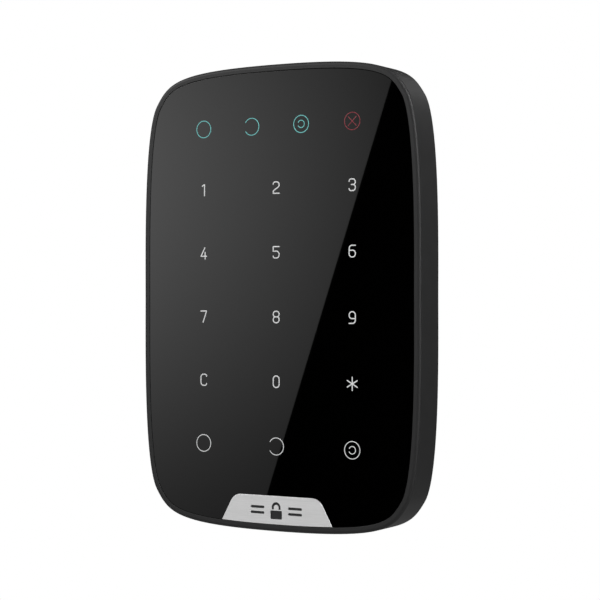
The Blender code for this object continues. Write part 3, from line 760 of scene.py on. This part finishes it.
@dataclass
class Housing(Assembly):
    """Dark moulded ring: bowed sides, rounded edges, thin bezel and a ledge for the panel."""

    front_edge: float = 1.05 * MM
    rear_edge: float = 1.0 * MM
    lip_edge: float = 0.10 * MM
    bezel: float = 2.12 * MM
    wall: float = 1.9 * MM
    ledge_inset: float = 4.5 * MM
    recess_radius: float = 2.8 * MM
    recess_depth: float = 2.0 * MM

    def profile(self) -> Piece:
        """Section of the ring as a closed curve: x is minus the inset, y minus the height."""
        low, high = bench_box("front_frame")
        panel_low = bench_box("touch_panel")[0].z
        shelf = panel_low - 0.2 * MM
        under = shelf - 1.1 * MM
        corners = [(self.wall, low.z, 0.2 * MM), (0.0, low.z, self.rear_edge),
                   (0.0, high.z, self.front_edge), (self.bezel, high.z, self.lip_edge),
                   (self.bezel, shelf, 0.0), (self.ledge_inset, shelf, 0.1 * MM),
                   (self.ledge_inset, under, 0.1 * MM), (self.wall, under, 0.1 * MM)]
        loop = fillet_loop(corners, 8, ease=0.04 * MM)
        points = [(-p.x, -p.y) for p in loop]
        return path_curve("ring_profile", [Line(points, [1.0] * len(points), True)])

    def build(self) -> None:
        """Sweep the ring, sink the lock screw's recess and hand it over."""
        route = [(p.x, p.y) for p in self.outline.loop()]
        host = path_curve("ring_route", [Line(route, [1.0] * len(route), True)])
        section = self.profile()
        plastic = self.shop.material(HOUSING)
        ring = self.trees.sweep.apply(host, {"Profile": section, "Material": plastic},
                                      "housing_ring")
        bpy.data.objects.remove(section, do_unlink=True)
        tidy_mesh(ring)
        ring = shape_with(ring, [self.lock_boss()], "UNION")
        ring = shape_with(ring, self.lock_cuts())
        self.hand_over(ring, HOUSING, KEYPAD_BODY, "housing_plastic", "front_frame")

    def lock_height(self) -> float:
        """Height of the lock screw's axis above the wall."""
        low, high = bench_box("lock_screw")
        return (low.z + high.z) / 2

    def lock_bore(self, name: str, start: float, end: float, radius: float,
                  end_radius: Optional[float] = None) -> Piece:
        """Cylinder on the lock screw's axis, its ends measured up from the outline's foot."""
        foot, height = -self.outline.half_height, self.lock_height()
        return cylinder(name, (0.0, foot + start, height), (0.0, foot + end, height), radius,
                        end_radius)

    def lock_boss(self) -> Piece:
        """Thick spot in the bottom wall behind the lock screw."""
        return self.lock_bore("lock_boss", self.wall - 0.4 * MM, self.wall + 2.1 * MM, 4.0 * MM)

    def lock_cuts(self) -> List[Piece]:
        """Recess for the screw's head, its lead-in chamfer and the hole for its shank."""
        return [self.lock_bore("lock_recess", -MM, self.recess_depth, self.recess_radius),
                self.lock_bore("lock_chamfer", -0.5 * MM, 0.3 * MM, self.recess_radius + 0.8 * MM,
                               self.recess_radius),
                self.lock_bore("lock_hole", 0.0, 6.0 * MM, LOCK_SHANK)]


# -------- panel and badge

@dataclass
class Panel(Assembly):
    """Polished black touch panel with its notch for the badge."""

    inset: float = 2.26 * MM
    edge: float = 0.05 * MM
    badge_gap: float = 0.12 * MM

    def build(self, badge: "Badge") -> None:
        """Cut the panel and hand it over.

        Args:
            badge: The badge, whose outline sets the notch.
        """
        low, high = bench_box("touch_panel")
        sheet = plate("touch_panel_sheet", self.outline.loop(self.inset), low.z, high.z, self.edge)
        grown = inset_loop(badge.loop(foot_drop=4 * MM), -self.badge_gap)
        sheet = shape_with(sheet, [plate("badge_notch", grown, low.z - MM, high.z + MM)])
        self.hand_over(sheet, GLOSS, KEYPAD_BODY, "panel_gloss", "touch_panel")


@dataclass
class Badge(Assembly):
    """Brushed metal plate at the panel's foot, pierced with a plain padlock and bars."""

    shoulder: float = 4.46 * MM
    top_half: float = 15.95 * MM
    foot_half: float = 20.8 * MM
    edge: float = 0.12 * MM
    pierce: float = 0.34 * MM
    bezel: float = 2.34 * MM
    stroke: float = 0.85 * MM
    bar: Pair = (4.4 * MM, 9.6 * MM)

    def loop(self, foot_drop: float = 0.0) -> Loop:
        """Trapezoid outline; foot_drop lowers its foot past the bezel."""
        low, high = bench_box("badge_plate")
        foot = low.y - foot_drop
        lean = (self.foot_half - self.top_half) / (high.y - low.y)
        half = self.foot_half + lean * foot_drop
        corners = [(half, foot, 0.0), (self.top_half, high.y, self.shoulder),
                   (-self.top_half, high.y, self.shoulder), (-half, foot, 0.0)]
        return fillet_loop(corners, 12)

    def motif(self) -> List[Loop]:
        """Outlines of the pierced marks: a padlock's body and shackle, and four bars."""
        low, high = bench_box("badge_plate")
        middle = (low.y + high.y) / 2 - 0.2 * MM
        outer, inner = 1.68 * MM, 1.68 * MM - self.stroke
        foot, head = middle + 0.35 * MM, middle + 2.75 * MM
        crown = head - outer + inner
        shackle = [(outer, foot, 0.0), (outer, head, outer), (-outer, head, outer),
                   (-outer, foot, 0.0), (-inner, foot, 0.0), (-inner, crown, inner),
                   (inner, crown, inner), (inner, foot, 0.0)]
        body = box_corners(2.2 * MM, 1.4 * MM, 0.4 * MM, (0.0, middle - 1.35 * MM))
        marks = [shackle, body]
        start, end = self.bar
        for side in (-1, 1):
            for height in (0.95 * MM, -0.85 * MM):
                spot = (side * (start + end) / 2, middle + height)
                marks.append(box_corners((end - start) / 2, self.stroke / 2,
                                         self.stroke * 0.49, spot))
        return [fillet_loop(mark, 8) for mark in marks]

    def pierced(self, name: str, low: float, high: float) -> List[Piece]:
        """Solids of the motif between two heights."""
        return [plate(name, loop, low, high) for loop in self.motif()]

    def build(self) -> None:
        """Make the plate and its dark backing and hand them over."""
        low, high = bench_box("badge_plate")
        metal = plate("badge", self.loop(foot_drop=2 * MM), low.z, high.z, self.edge)
        guard = plate("guard", self.outline.loop(self.bezel), low.z - MM, high.z + MM)
        metal = shape_with(metal, [guard], "INTERSECT")
        floor = high.z - self.pierce
        metal = shape_with(metal, self.pierced("cut", floor, high.z + MM))
        self.hand_over(metal, BADGE, KEYPAD_BODY, "brushed_metal", "badge_plate")
        fills = self.pierced("badge_backing", floor - 0.2 * MM, floor + 0.03 * MM)
        fill = shape_with(fills[0], fills[1:], "UNION")
        fill.name = "badge_backing"
        self.hand_over(fill, BACKING, KEYPAD_BODY, "black_moulding")


# -------- legends

HALF_W = 1.10
HALF_H = 1.83


def glyph(*runs: Tuple[Sequence[Point], bool]) -> List[Line]:
    """Paths of one character; each run is ((x, y, fillet) points, closed)."""
    return [Line([(x, y) for x, y, _ in run], [r for _, _, r in run], closed)
            for run, closed in runs]


def arc_line(radius: float, gap: float) -> Line:
    """Ring about the origin with a gap of so many degrees, open to the left."""
    count = 72
    start = 180.0 + gap / 2
    sweep = 360.0 - gap
    steps = count if gap else count - 1
    angles = [math.radians(start + sweep * k / count) for k in range(steps + 1)]
    points = [(radius * math.cos(a), radius * math.sin(a)) for a in angles]
    return Line(points, [0.0] * len(points), gap == 0.0)


def digit_shapes() -> Dict[str, List[Line]]:
    """Centre lines of the digits, the letter and the star, in millimetres."""
    w, h = HALF_W, HALF_H
    star = []
    for angle in (90.0, 30.0, -30.0):
        dx, dy = 2.05 * math.cos(math.radians(angle)), 2.05 * math.sin(math.radians(angle))
        star.append(([(-dx, -dy, 0.0), (dx, dy, 0.0)], False))
    return {
        "0": glyph(([(w, -h, 1.0), (w, h, 1.0), (-w, h, 1.0), (-w, -h, 1.0)], True)),
        "1": glyph(([(-0.55, 1.35, 0.0), (0.3, h, 0.1), (0.3, -h, 0.0)], False)),
        "2": glyph(([(-w, 1.1, 0.0), (-w, h, 1.0), (w, h, 1.0), (w, 0.35, 0.9),
                     (-w, -1.05, 0.5), (-w, -h, 0.05), (w, -h, 0.0)], False)),
        "3": glyph(([(-w, 1.15, 0.0), (-w, h, 0.95), (w, h, 0.95), (w, 0.08, 0.8),
                     (-0.3, 0.08, 0.0)], False),
                   ([(-0.3, 0.08, 0.0), (w, 0.08, 0.8), (w, -h, 0.95), (-w, -h, 0.95),
                     (-w, -1.15, 0.0)], False)),
        "4": glyph(([(0.45, h, 0.0), (-w, -0.95, 0.05), (w, -0.95, 0.0)], False),
                   ([(0.55, 0.35, 0.0), (0.55, -h, 0.0)], False)),
        "5": glyph(([(w, h, 0.0), (-w, h, 0.05), (-w, 0.35, 0.05), (w, 0.35, 1.0),
                     (w, -h, 1.0), (-w, -h, 0.95), (-w, -1.2, 0.0)], False)),
        "6": glyph(([(w, h, 0.0), (-w, h, 1.0), (-w, -h, 1.0), (w, -h, 1.0), (w, 0.3, 1.0),
                     (-w, 0.3, 0.0)], False)),
        "7": glyph(([(-w, h, 0.0), (w, h, 0.05), (-0.25, -h, 0.0)], False)),
        "8": glyph(([(w, 0.06, 0.85), (w, h, 0.95), (-w, h, 0.95), (-w, 0.06, 0.85)], True),
                   ([(w, -h, 0.95), (w, 0.06, 0.85), (-w, 0.06, 0.85), (-w, -h, 0.95)], True)),
        "9": glyph(([(-w, -h, 0.0), (w, -h, 1.0), (w, h, 1.15), (-w, h, 1.15),
                     (-w, -0.35, 1.0), (w, -0.35, 0.0)], False)),
        "c": glyph(([(w, 1.2, 0.0), (w, h, 1.0), (-w, h, 1.0), (-w, -h, 1.0), (w, -h, 1.0),
                     (w, -1.2, 0.0)], False)),
        "star": glyph(*star),
    }


def symbol_shapes() -> Dict[str, List[Line]]:
    """Centre lines of the arming and status symbols, in millimetres."""
    ring = 2.74
    cross = 1.42
    return {
        "closed_ring": [arc_line(ring, 0.0)],
        "open_ring": [arc_line(ring, 66.0)],
        "double_ring": [arc_line(ring, 0.0), arc_line(1.18, 56.0)],
        "crossed_ring": [arc_line(ring, 0.0),
                         Line([(-cross, -cross), (cross, cross)], [0.0, 0.0]),
                         Line([(-cross, cross), (cross, -cross)], [0.0, 0.0])],
    }


@dataclass
class Legends(Assembly):
    """Printed and backlit marks on the touch panel, one piece for each key or light."""

    digit_stroke: float = 0.38 * MM
    ring_stroke: float = 0.26 * MM
    proud: float = 0.012 * MM
    sunk: float = 0.010 * MM

    def mark(self, name: str, node: str, lines: List[Line], stroke: float, finish: Finish,
             slot: str) -> None:
        """Lay one mark on the panel over its light.

        Args:
            name: The piece's name.
            node: The LED that lights it, which gives its place.
            lines: Its centre lines, in millimetres about its own centre.
            stroke: Width of its lines.
            finish: Its ink.
            slot: The record's material slot.
        """
        spot = bench_centre(node)
        face = bench_box("touch_panel")[1].z
        placed = [line.placed(spot, MM) for line in lines]
        values = {"Width": stroke, "Height": self.proud + self.sunk,
                  "Material": self.shop.material(finish)}
        piece = self.trees.strokes.apply(path_curve(name + "_lines", placed), values, name)
        lift = face + (self.proud - self.sunk) / 2
        piece.data.transform(Matrix.Translation((0.0, 0.0, lift)))
        self.hand_over(piece, finish, KEYPAD_BODY, slot, rounded=False)

    def build(self) -> None:
        """Make all the marks."""
        for label, lines in digit_shapes().items():
            self.mark("legend_" + label, "led_key_" + label, lines, self.digit_stroke,
                      INK_WHITE, "led_white")
        rows = (("legend_", "led_key_", INK_WHITE, "led_white",
                 {"arm": "closed_ring", "disarm": "open_ring", "night": "double_ring"}),
                ("status_", "led_", INK_TEAL, "led_teal",
                 {"armed": "closed_ring", "disarmed": "open_ring", "night_mode": "double_ring"}),
                ("status_", "led_", INK_RED, "led_red", {"fault": "crossed_ring"}))
        symbols = symbol_shapes()
        for name, lamp, ink, slot, labels in rows:
            for label, symbol in labels.items():
                self.mark(name + label, lamp + label, symbols[symbol], self.ring_stroke, ink, slot)


# -------- rear

@dataclass
class RearCover(Assembly):
    """Rear moulding: plate, battery bump, hook slots, screw seats and sound slots."""

    inset: float = 2.2 * MM
    bump_edge: float = 0.8 * MM
    bump_wall: float = 0.65 * MM
    screw_hole: float = 1.2 * MM
    plunger_hole: float = 1.8 * MM
    button_hole: float = 2.9 * MM
    sound_slots: int = 9
    sound_pitch: float = 2.6 * MM
    sound_y: float = 69.9 * MM

    def build(self) -> None:
        """Make the cover and hand it over."""
        low, high = bench_box("rear_cover")
        cover = plate("rear_shell", self.outline.loop(self.inset), COVER_LOW, high.z,
                      bottom_edge=0.2 * MM)
        cover = shape_with(cover, [self.bump(low.z, high.z)], "UNION")
        cover = shape_with(cover, [self.bay(low.z, high.z)])
        cover = shape_with(cover, self.openings(COVER_LOW, high.z))
        self.hand_over(cover, HOUSING, KEYPAD_BODY, "housing_plastic", "rear_cover")

    def bump_sizes(self) -> Tuple[float, float, Pair]:
        """Half sizes and centre of the battery bump's inside."""
        low, high = bench_box("battery_holder")
        play = 0.3 * MM
        return ((high.x - low.x) / 2 + play, (high.y - low.y) / 2 + play,
                bench_centre("battery_holder"))

    def bump(self, low: float, high: float) -> Piece:
        """Outside of the battery bump."""
        half_x, half_y, middle = self.bump_sizes()
        loop = pad(half_x + self.bump_wall, half_y + self.bump_wall, 1.6 * MM, middle, 8)
        return plate("bump", loop, low, high - 0.1 * MM, bottom_edge=self.bump_edge, steps=6)

    def bay(self, low: float, high: float) -> Piece:
        """Inside of the battery bump."""
        half_x, half_y, middle = self.bump_sizes()
        return plate("bay", pad(half_x, half_y, 1.0 * MM, middle, 6), low + self.bump_wall,
                     high + MM)

    def openings(self, low: float, high: float) -> List[Piece]:
        """Slots, holes and seats through the plate."""
        below, above = low - MM, high + MM
        cuts = []
        for side in (-1, 1):
            for foot in HOOK_FEET:
                middle = (side * HOOK_X, foot - 1.6 * MM)
                cuts.append(plate("hook_slot", pad(3.3 * MM, 3.7 * MM, 0.4 * MM, middle), below,
                                  above))
        for name in CASE_SCREWS:
            x, y = bench_centre(name)
            cuts.append(cylinder("screw_hole", (x, y, 0.0), (x, y, above), self.screw_hole))
        for node, radius in (("tamper_plunger", self.plunger_hole),
                             ("power_button", self.button_hole)):
            x, y = bench_centre(node)
            cuts.append(cylinder("pin_hole", (x, y, 0.0), (x, y, above), radius))
            cuts.append(cylinder("pin_chamfer", (x, y, low - 0.2 * MM), (x, y, low + 0.3 * MM),
                                 radius + 0.5 * MM, radius))
        cuts.append(plate("lug_notch", pad(4.4 * MM, 6.0 * MM, middle=(0.0, -69.3 * MM)), below,
                          above))
        slot = plate("sound_slot", pad(0.5 * MM, 1.5 * MM, 0.45 * MM, segments=6), below, above)
        first = -(self.sound_slots - 1) / 2
        spots = [((first + k) * self.sound_pitch, self.sound_y, 0.0)
                 for k in range(self.sound_slots)]
        cuts.append(self.trees.repeat("sound_slots", slot, spots))
        return cuts


@dataclass
class WallBracket(Assembly):
    """Wall plate with hooks, ribbed pockets on its wall face and countersunk holes."""

    half_x: float = 38.0 * MM
    half_y: float = 66.5 * MM
    corner: float = 13.0 * MM
    edge: float = 0.35 * MM
    hole: float = 2.25 * MM
    sink: float = 3.6 * MM
    hook_half: float = 3.0 * MM
    ramp_half: float = 2.0 * MM
    pocket: float = 0.9 * MM
    pocket_rows: int = 6
    rib: float = 1.1 * MM
    rim: float = 3.2 * MM
    pad_radius: float = 7.0 * MM

    def build(self) -> None:
        """Make the bracket and hand it over."""
        loop = pad(self.half_x, self.half_y, self.corner, segments=12)
        body = plate("bracket_plate", loop, 0.0, BRACKET_TOP, self.edge, self.edge)
        body = shape_with(body, self.lumps(), "UNION")
        body = shape_with(body, self.cuts())
        self.hand_over(body, HOUSING, BRACKET_BODY, "housing_plastic", "mounting_bracket")

    def window(self) -> Point:
        """Half width, foot and head of the window round the battery bump."""
        low, high = bench_box("battery_holder")
        grow, lift = 1.45 * MM, 5.0 * MM
        return high.x + grow, low.y - grow, high.y + grow + lift

    def lumps(self) -> List[Piece]:
        """Hooks and the lock screw's lug."""
        root = BRACKET_TOP - MM
        made = []
        for side in (-1, 1):
            for foot in HOOK_FEET:
                x = side * HOOK_X
                stem = pad(self.hook_half, 0.9 * MM, 0.15 * MM, (x, foot + 0.9 * MM), 3)
                lip = pad(self.hook_half, 2.05 * MM, 0.4 * MM, (x, foot + 2.95 * MM))
                made.append(shape_with(plate("hook_stem", stem, root, 4.6 * MM),
                                       [plate("hook_lip", lip, 4.25 * MM, 5.3 * MM, 0.2 * MM)],
                                       "UNION"))
        lug = pad(4.0 * MM, 1.0 * MM, 0.2 * MM, (0.0, LUG_Y), 3)
        made.append(plate("lug", lug, root, 9.5 * MM, 0.4 * MM))
        return made

    def cuts(self) -> List[Piece]:
        """Window, wall holes, lug hole, tamper ramp and the ribbed pockets."""
        half, foot, head = self.window()
        top, above = BRACKET_TOP, BRACKET_TOP + MM
        opening = pad(half, (head - foot) / 2, 1.0 * MM, (0.0, (head + foot) / 2), 6)
        made = [plate("window", opening, -MM, above)]
        for x in (-HOOK_X, HOOK_X):
            for y in (WALL_HOLE_Y, -WALL_HOLE_Y):
                made.append(cylinder("wall_hole", (x, y, -MM), (x, y, above), self.hole))
                made.append(cylinder("wall_sink", (x, y, top - 1.0 * MM), (x, y, top + 0.3 * MM),
                                     self.hole, self.sink))
        made.append(cylinder("lug_hole", (0.0, -67.0 * MM, LUG_AXIS), (0.0, -62.0 * MM, LUG_AXIS),
                             LOCK_SHANK))
        made.append(self.tamper_ramp())
        made.append(self.pockets(head))
        return made

    def ramp_centre(self) -> Pair:
        """Middle of the tamper ramp."""
        x, y = bench_centre("tamper_plunger")
        return x, y - RAMP_LEAD + RAMP_LENGTH / 2

    def tamper_ramp(self) -> Piece:
        """Wedge that lets the tamper plunger out as the keypad lifts."""
        top = BRACKET_TOP
        x, y = self.ramp_centre()
        ramp = plate("ramp", pad(self.ramp_half, RAMP_LENGTH / 2, middle=(x, y)), top, top + MM)
        for corner in ramp.data.vertices:
            if corner.co.z < top + MM / 2:
                corner.co.z -= RAMP_SLOPE * (corner.co.y - y + RAMP_LENGTH / 2)
        return ramp

    def pockets(self, head: float) -> Piece:
        """Cells sunk into the wall face; what stays between them are the ribs."""
        count = self.pocket_rows
        left, floor, roof = self.rim - self.half_x, head + self.rim, 50.0 * MM
        cell_x = (-2 * left - (count - 1) * self.rib) / count
        cell_y = (roof - floor - (count - 1) * self.rib) / count
        ramp_x, ramp_y = self.ramp_centre()
        cell = plate("pocket", pad(cell_x / 2, cell_y / 2, 0.8 * MM), -MM, self.pocket)
        spots = []
        for column in range(count):
            for row in range(count):
                x = left + cell_x / 2 + column * (cell_x + self.rib)
                y = floor + cell_y / 2 + row * (cell_y + self.rib)
                over_ramp = (abs(x - ramp_x) < cell_x / 2 + self.ramp_half
                             and abs(y - ramp_y) < (cell_y + RAMP_LENGTH) / 2)
                if math.hypot(x, y) > self.pad_radius and not over_ramp:
                    spots.append((x, y, 0.0))
        return self.trees.repeat("pockets", cell, spots)


# -------- fasteners and small pieces

@dataclass
class Fasteners(Assembly):
    """Case screws, the lock screw and its washer."""

    cross_width: float = 0.42 * MM
    cross_reach: float = 1.05 * MM
    cross_depth: float = 0.7 * MM

    def cross(self, reach: float, width: float, low: float, high: float) -> List[Piece]:
        """Two crossed blades for a driver's recess, tapered to the bottom."""
        blades = []
        for half_x, half_y in ((reach, width), (width, reach)):
            blades.append(stack("blade", [(pad(half_x, half_y), low),
                                          (pad(half_x * 0.55, half_y * 0.8), high)]))
        return blades

    def case_screws(self) -> None:
        """Four pan-head screws as one piece, copied from one head with a cross recess."""
        low, high = bench_box(CASE_SCREWS[0])
        head_r = (high.x - low.x) / 2
        base = low.z
        profile = [(head_r * 0.62, base), (head_r * 0.85, base + 0.10 * MM),
                   (head_r * 0.97, base + 0.30 * MM), (head_r, base + 0.55 * MM),
                   (head_r, base + 1.15 * MM), (head_r - 0.05 * MM, base + 1.2 * MM),
                   (0.9 * MM, base + 1.25 * MM), (0.9 * MM, high.z - MM), (0.3 * MM, high.z)]
        screw = shape_with(turned("screw", profile),
                           self.cross(self.cross_reach, self.cross_width / 2,
                                      base - 0.01 * MM, base + self.cross_depth))
        spots = [(*bench_centre(name), 0.0) for name in CASE_SCREWS]
        piece = self.trees.repeat("case_screws", screw, spots, self.shop.material(ZINC))
        self.hand_over(piece, ZINC, KEYPAD_BODY, "zinc_steel", *CASE_SCREWS)

    def lock_screw(self) -> None:
        """Lock screw with a cross recess and a rolled thread on its shank."""
        low, high = bench_box("lock_screw")
        axis_height = (low.z + high.z) / 2
        head_r = (high.x - low.x) / 2
        span = high.y - low.y
        profile = [(head_r * 0.7, 0.0), (head_r * 0.93, 0.08 * MM), (head_r, 0.32 * MM),
                   (head_r, 1.35 * MM), (head_r - 0.05 * MM, 1.4 * MM), (1.5 * MM, 1.45 * MM)]
        crest, root, pitch, height = 1.5 * MM, 1.24 * MM, 0.5 * MM, 2.2 * MM
        while height + pitch < span - 0.9 * MM:
            profile += [(crest, height), (root, height + pitch / 2)]
            height += pitch
        profile += [(crest, height), (0.9 * MM, span)]
        screw = shape_with(turned("lock_screw_steel", profile),
                           self.cross(1.35 * MM, 0.28 * MM, -0.01 * MM, 0.9 * MM))
        screw.data.transform(Matrix.Rotation(math.radians(-90.0), 4, "X"))
        screw.data.transform(Matrix.Translation((0.0, low.y, axis_height)))
        self.hand_over(screw, ZINC, "lock", "zinc_steel", "lock_screw")

    def build(self) -> None:
        """Make the screws."""
        self.case_screws()
        self.lock_screw()


@dataclass
class LabelPrint(Assembly):
    """Blank form printed on the rear label: a frame, ruled lines and an empty data square."""

    stroke: float = 0.18 * MM
    thick: float = 0.02 * MM
    margin: float = 1.4 * MM
    line_gap: float = 3.2 * MM
    square: float = 8.0 * MM

    def build(self) -> None:
        """Lay the printing on the label's rear face."""
        low, high = bench_box("rating_label")
        left, right = low.x + self.margin, high.x - self.margin
        foot, head = low.y + self.margin, high.y - self.margin
        sharp = [0.0] * 4
        lines = [Line([(left, foot), (right, foot), (right, head), (left, head)], sharp, True)]
        x0, x1 = right - self.margin - self.square, right - self.margin
        y0, y1 = head - self.margin - self.square, head - self.margin
        lines.append(Line([(x0, y0), (x1, y0), (x1, y1), (x0, y1)], sharp, True))
        height = head - self.line_gap
        while height > foot + self.margin:
            end = x0 - self.margin if height > y0 - self.margin else x1
            lines.append(Line([(left + self.margin, height), (end, height)], [0.0, 0.0]))
            height -= self.line_gap
        ink = self.shop.material(LABEL_INK)
        values = {"Width": self.stroke, "Height": self.thick, "Material": ink}
        piece = self.trees.strokes.apply(path_curve("label_lines", lines), values, "label_print")
        piece.data.transform(Matrix.Translation((0.0, 0.0, low.z)))
        self.hand_over(piece, LABEL_INK, KEYPAD_BODY, "label_stock", rounded=False)


@dataclass
class PlainNodes(Assembly):
    """Frame nodes whose own shape is right: each gets the finish of its slot."""

    def build(self) -> None:
        """Dress every node of the frame by its slot in the record."""
        slots = {row["node"]: row["material_slot"] for row in frame["record"]["subparts"]}
        for name, node in frame["nodes"].items():
            self.shop.dress(node, SLOT_FINISH[slots[name]])
        LOG.info("%d frame nodes dressed", len(slots))


# -------- studio

@dataclass
class Studio:
    """Floor that glows by itself (painted light), soft lights, a graded card for the panel to
    mirror, and the camera.
    """

    camera_spot: Vector = field(default_factory=lambda: Vector((0.29221, -0.49974, 0.0)))
    camera_turn: float = 30.24
    lens: float = 106.07
    framing_shift: Pair = (-0.00058, -0.00365)
    floor_height: float = -0.34
    floor_half: float = 30.0

    def camera(self) -> None:
        """Camera level with the keypad's middle, to the right of its axis."""
        data = bpy.data.cameras.new("camera")
        data.lens = self.lens
        data.sensor_width = 36.0
        data.shift_x, data.shift_y = self.framing_shift
        data.clip_start = 0.01
        data.clip_end = 100.0
        item = link(bpy.data.objects.new("camera", data))
        item.location = self.camera_spot
        item.rotation_euler = (math.radians(90.0), 0.0, math.radians(self.camera_turn))
        bpy.context.scene.camera = item

    def soft_light(self, name: str, spot: Point, size: Pair,
                   watts: float, mirrored: bool = True) -> None:
        """Rectangular area light aimed at the keypad.

        Args:
            name: The light's name.
            spot: Where it stands.
            size: Its width and height.
            watts: Its power.
            mirrored: Whether glossy surfaces show it.
        """
        data = bpy.data.lights.new(name, "AREA")
        data.shape = "RECTANGLE"
        data.size, data.size_y = size
        data.energy = watts
        item = link(bpy.data.objects.new(name, data))
        item.location = spot
        item.rotation_euler = (-Vector(spot)).to_track_quat("-Z", "Y").to_euler()
        item.visible_glossy = mirrored

    def world(self) -> None:
        """White seen directly, black in mirrors, and a little even light on everything."""
        world = bpy.data.worlds.new("studio")
        bpy.context.scene.world = world
        world.use_nodes = True
        graph = Graph(world.node_tree)
        path = graph.node("ShaderNodeLightPath", output="Is Camera Ray")
        fill = graph.node("ShaderNodeLightPath", output="Is Diffuse Ray")
        strength = path + fill * 0.35
        back = world.node_tree.nodes["Background"]
        back.inputs["Color"].default_value = (1.0, 1.0, 1.0, 1.0)
        world.node_tree.links.new(strength.socket, back.inputs["Strength"])

    def sheet(self, name: str, corners: Sequence[Point],
              level: Callable[[Graph, Term], Term]) -> Piece:
        """Flat sheet of the set that shines by itself.

        Args:
            name: The sheet's name.
            corners: Its four corners.
            level: Works out its brightness from its graph and the place on it.

        Returns:
            The sheet, not yet handed over.
        """
        mesh = bpy.data.meshes.new(name)
        mesh.from_pydata(corners, [], [(0, 1, 2, 3)])
        material = bpy.data.materials.new(name)
        material.use_nodes = True
        graph = Graph(material.node_tree)
        shader = material.node_tree.nodes["Principled BSDF"]
        bright = level(graph, graph.node("ShaderNodeTexCoord", output="Object"))
        material.node_tree.links.new(bright.socket, shader.inputs["Emission Color"])
        for socket, value in (("Emission Strength", 1.0), ("Roughness", 1.0),
                              ("Specular IOR Level", 0.0),
                              ("Base Color", (0.0, 0.0, 0.0, 1.0))):
            shader.inputs[socket].default_value = value
        mesh.materials.append(material)
        return link(bpy.data.objects.new(name, mesh))

    def floor(self) -> None:
        """Floor under the keypad that glows by itself, which is painted light; mirrors show it only
        near the keypad.
        """
        def level(graph: Graph, spot: Term) -> Term:
            """Painted light: the floor's glow, dimmer near the keypad and white far off."""
            reach = graph.node("ShaderNodeVectorMath", {"operation": "LENGTH"}, {0: spot}, "Value")
            share = graph.node("ShaderNodeMapRange", {"interpolation_type": "SMOOTHSTEP"},
                               {"Value": reach, "From Min": 0.35, "From Max": 1.25})
            mirrored = graph.node("ShaderNodeLightPath", output="Is Glossy Ray")
            return (0.64 + share * 0.36) * ((1.0 - mirrored) + mirrored * (1.0 - share) * 0.5)

        half = self.floor_half
        corners = [(x, y, self.floor_height)
                   for x, y in ((-half, -half), (half, -half), (half, half), (-half, half))]
        item = self.sheet("floor", corners, level)
        item.visible_diffuse = False

    def cards(self) -> None:
        """Light cards that the panel mirrors: a bright slanted one and a dim one in front."""
        def bright(graph: Graph, spot: Term) -> Term:
            """Brighter in its upper half, fading to the right."""
            x = graph.node("ShaderNodeSeparateXYZ", None, {0: spot}, "X")
            z = graph.node("ShaderNodeSeparateXYZ", None, {0: spot}, "Z")
            rise = 1.34 + z * 4.05 - z * z * 8.05 - z * z * z * 36.0
            fade = (1.0 - (x + 0.73) * 2.7).at_most(1.15)
            return (rise * fade).at_least(0.15)

        def dim(graph: Graph, spot: Term) -> Term:
            """Soft slope from the upper left to the lower right."""
            x = graph.node("ShaderNodeSeparateXYZ", None, {0: spot}, "X")
            z = graph.node("ShaderNodeSeparateXYZ", None, {0: spot}, "Z")
            return (0.34 + z * 0.7 - x * 0.6).at_least(0.0)

        depth = -1.0
        lean = 0.3451
        edge_x, edge_z = -0.4674, 0.203
        top, foot, left = 0.45, -0.29, -0.98
        slanted = [(left, top), (edge_x + (top - edge_z) * lean, top),
                   (edge_x + (foot - edge_z) * lean, foot), (left, foot)]
        straight = [(-0.36, 0.40), (0.40, 0.40), (0.40, -0.32), (-0.36, -0.32)]
        for name, corners, level in (("light_card", slanted, bright),
                                     ("dim_card", straight, dim)):
            item = self.sheet(name, [(x, depth, z) for x, z in corners], level)
            item.visible_camera = False

    def build(self) -> None:
        """Set the whole studio."""
        self.camera()
        self.floor()
        self.cards()
        self.world()
        self.soft_light("key_left", (-1.15, -0.95, 0.75), (0.7, 0.7), 12.0)
        self.soft_light("top", (0.0, -0.25, 1.2), (1.0, 0.8), 2.0)
        self.soft_light("right", (1.2, -0.2, 0.35), (0.5, 0.9), 6.0)
        self.soft_light("right_near", (0.34, -0.1, 0.3), (0.2, 0.25), 0.95)
        self.soft_light("rear", (-0.5, 1.3, 0.6), (0.9, 0.9), 22.0, mirrored=False)
        self.soft_light("rear_left", (-1.25, 1.0, 0.25), (0.7, 0.9), 32.0,
                        mirrored=False)
        self.soft_light("rear_glint", (0.25, 1.3, 0.7), (0.8, 0.6), 1.2)
        bpy.context.scene.view_settings.view_transform = "Standard"


# -------- main

def main() -> None:
    """Build every sub-assembly in order, then the studio."""
    logging.basicConfig(level=logging.INFO, format="%(name)s: %(message)s")
    low, high = bench_box("front_frame")
    outline = Outline(51.5 * MM, (high.y - low.y) / 2)
    shop = Workshop()
    trees = Trees()
    kit = (shop, trees, outline)
    PlainNodes(*kit).build()
    Housing(*kit).build()
    badge = Badge(*kit)
    badge.build()
    Panel(*kit).build(badge)
    Legends(*kit).build()
    RearCover(*kit).build()
    WallBracket(*kit).build()
    Fasteners(*kit).build()
    LabelPrint(*kit).build()
    Studio().build()


if __name__ == "__main__":
    main()
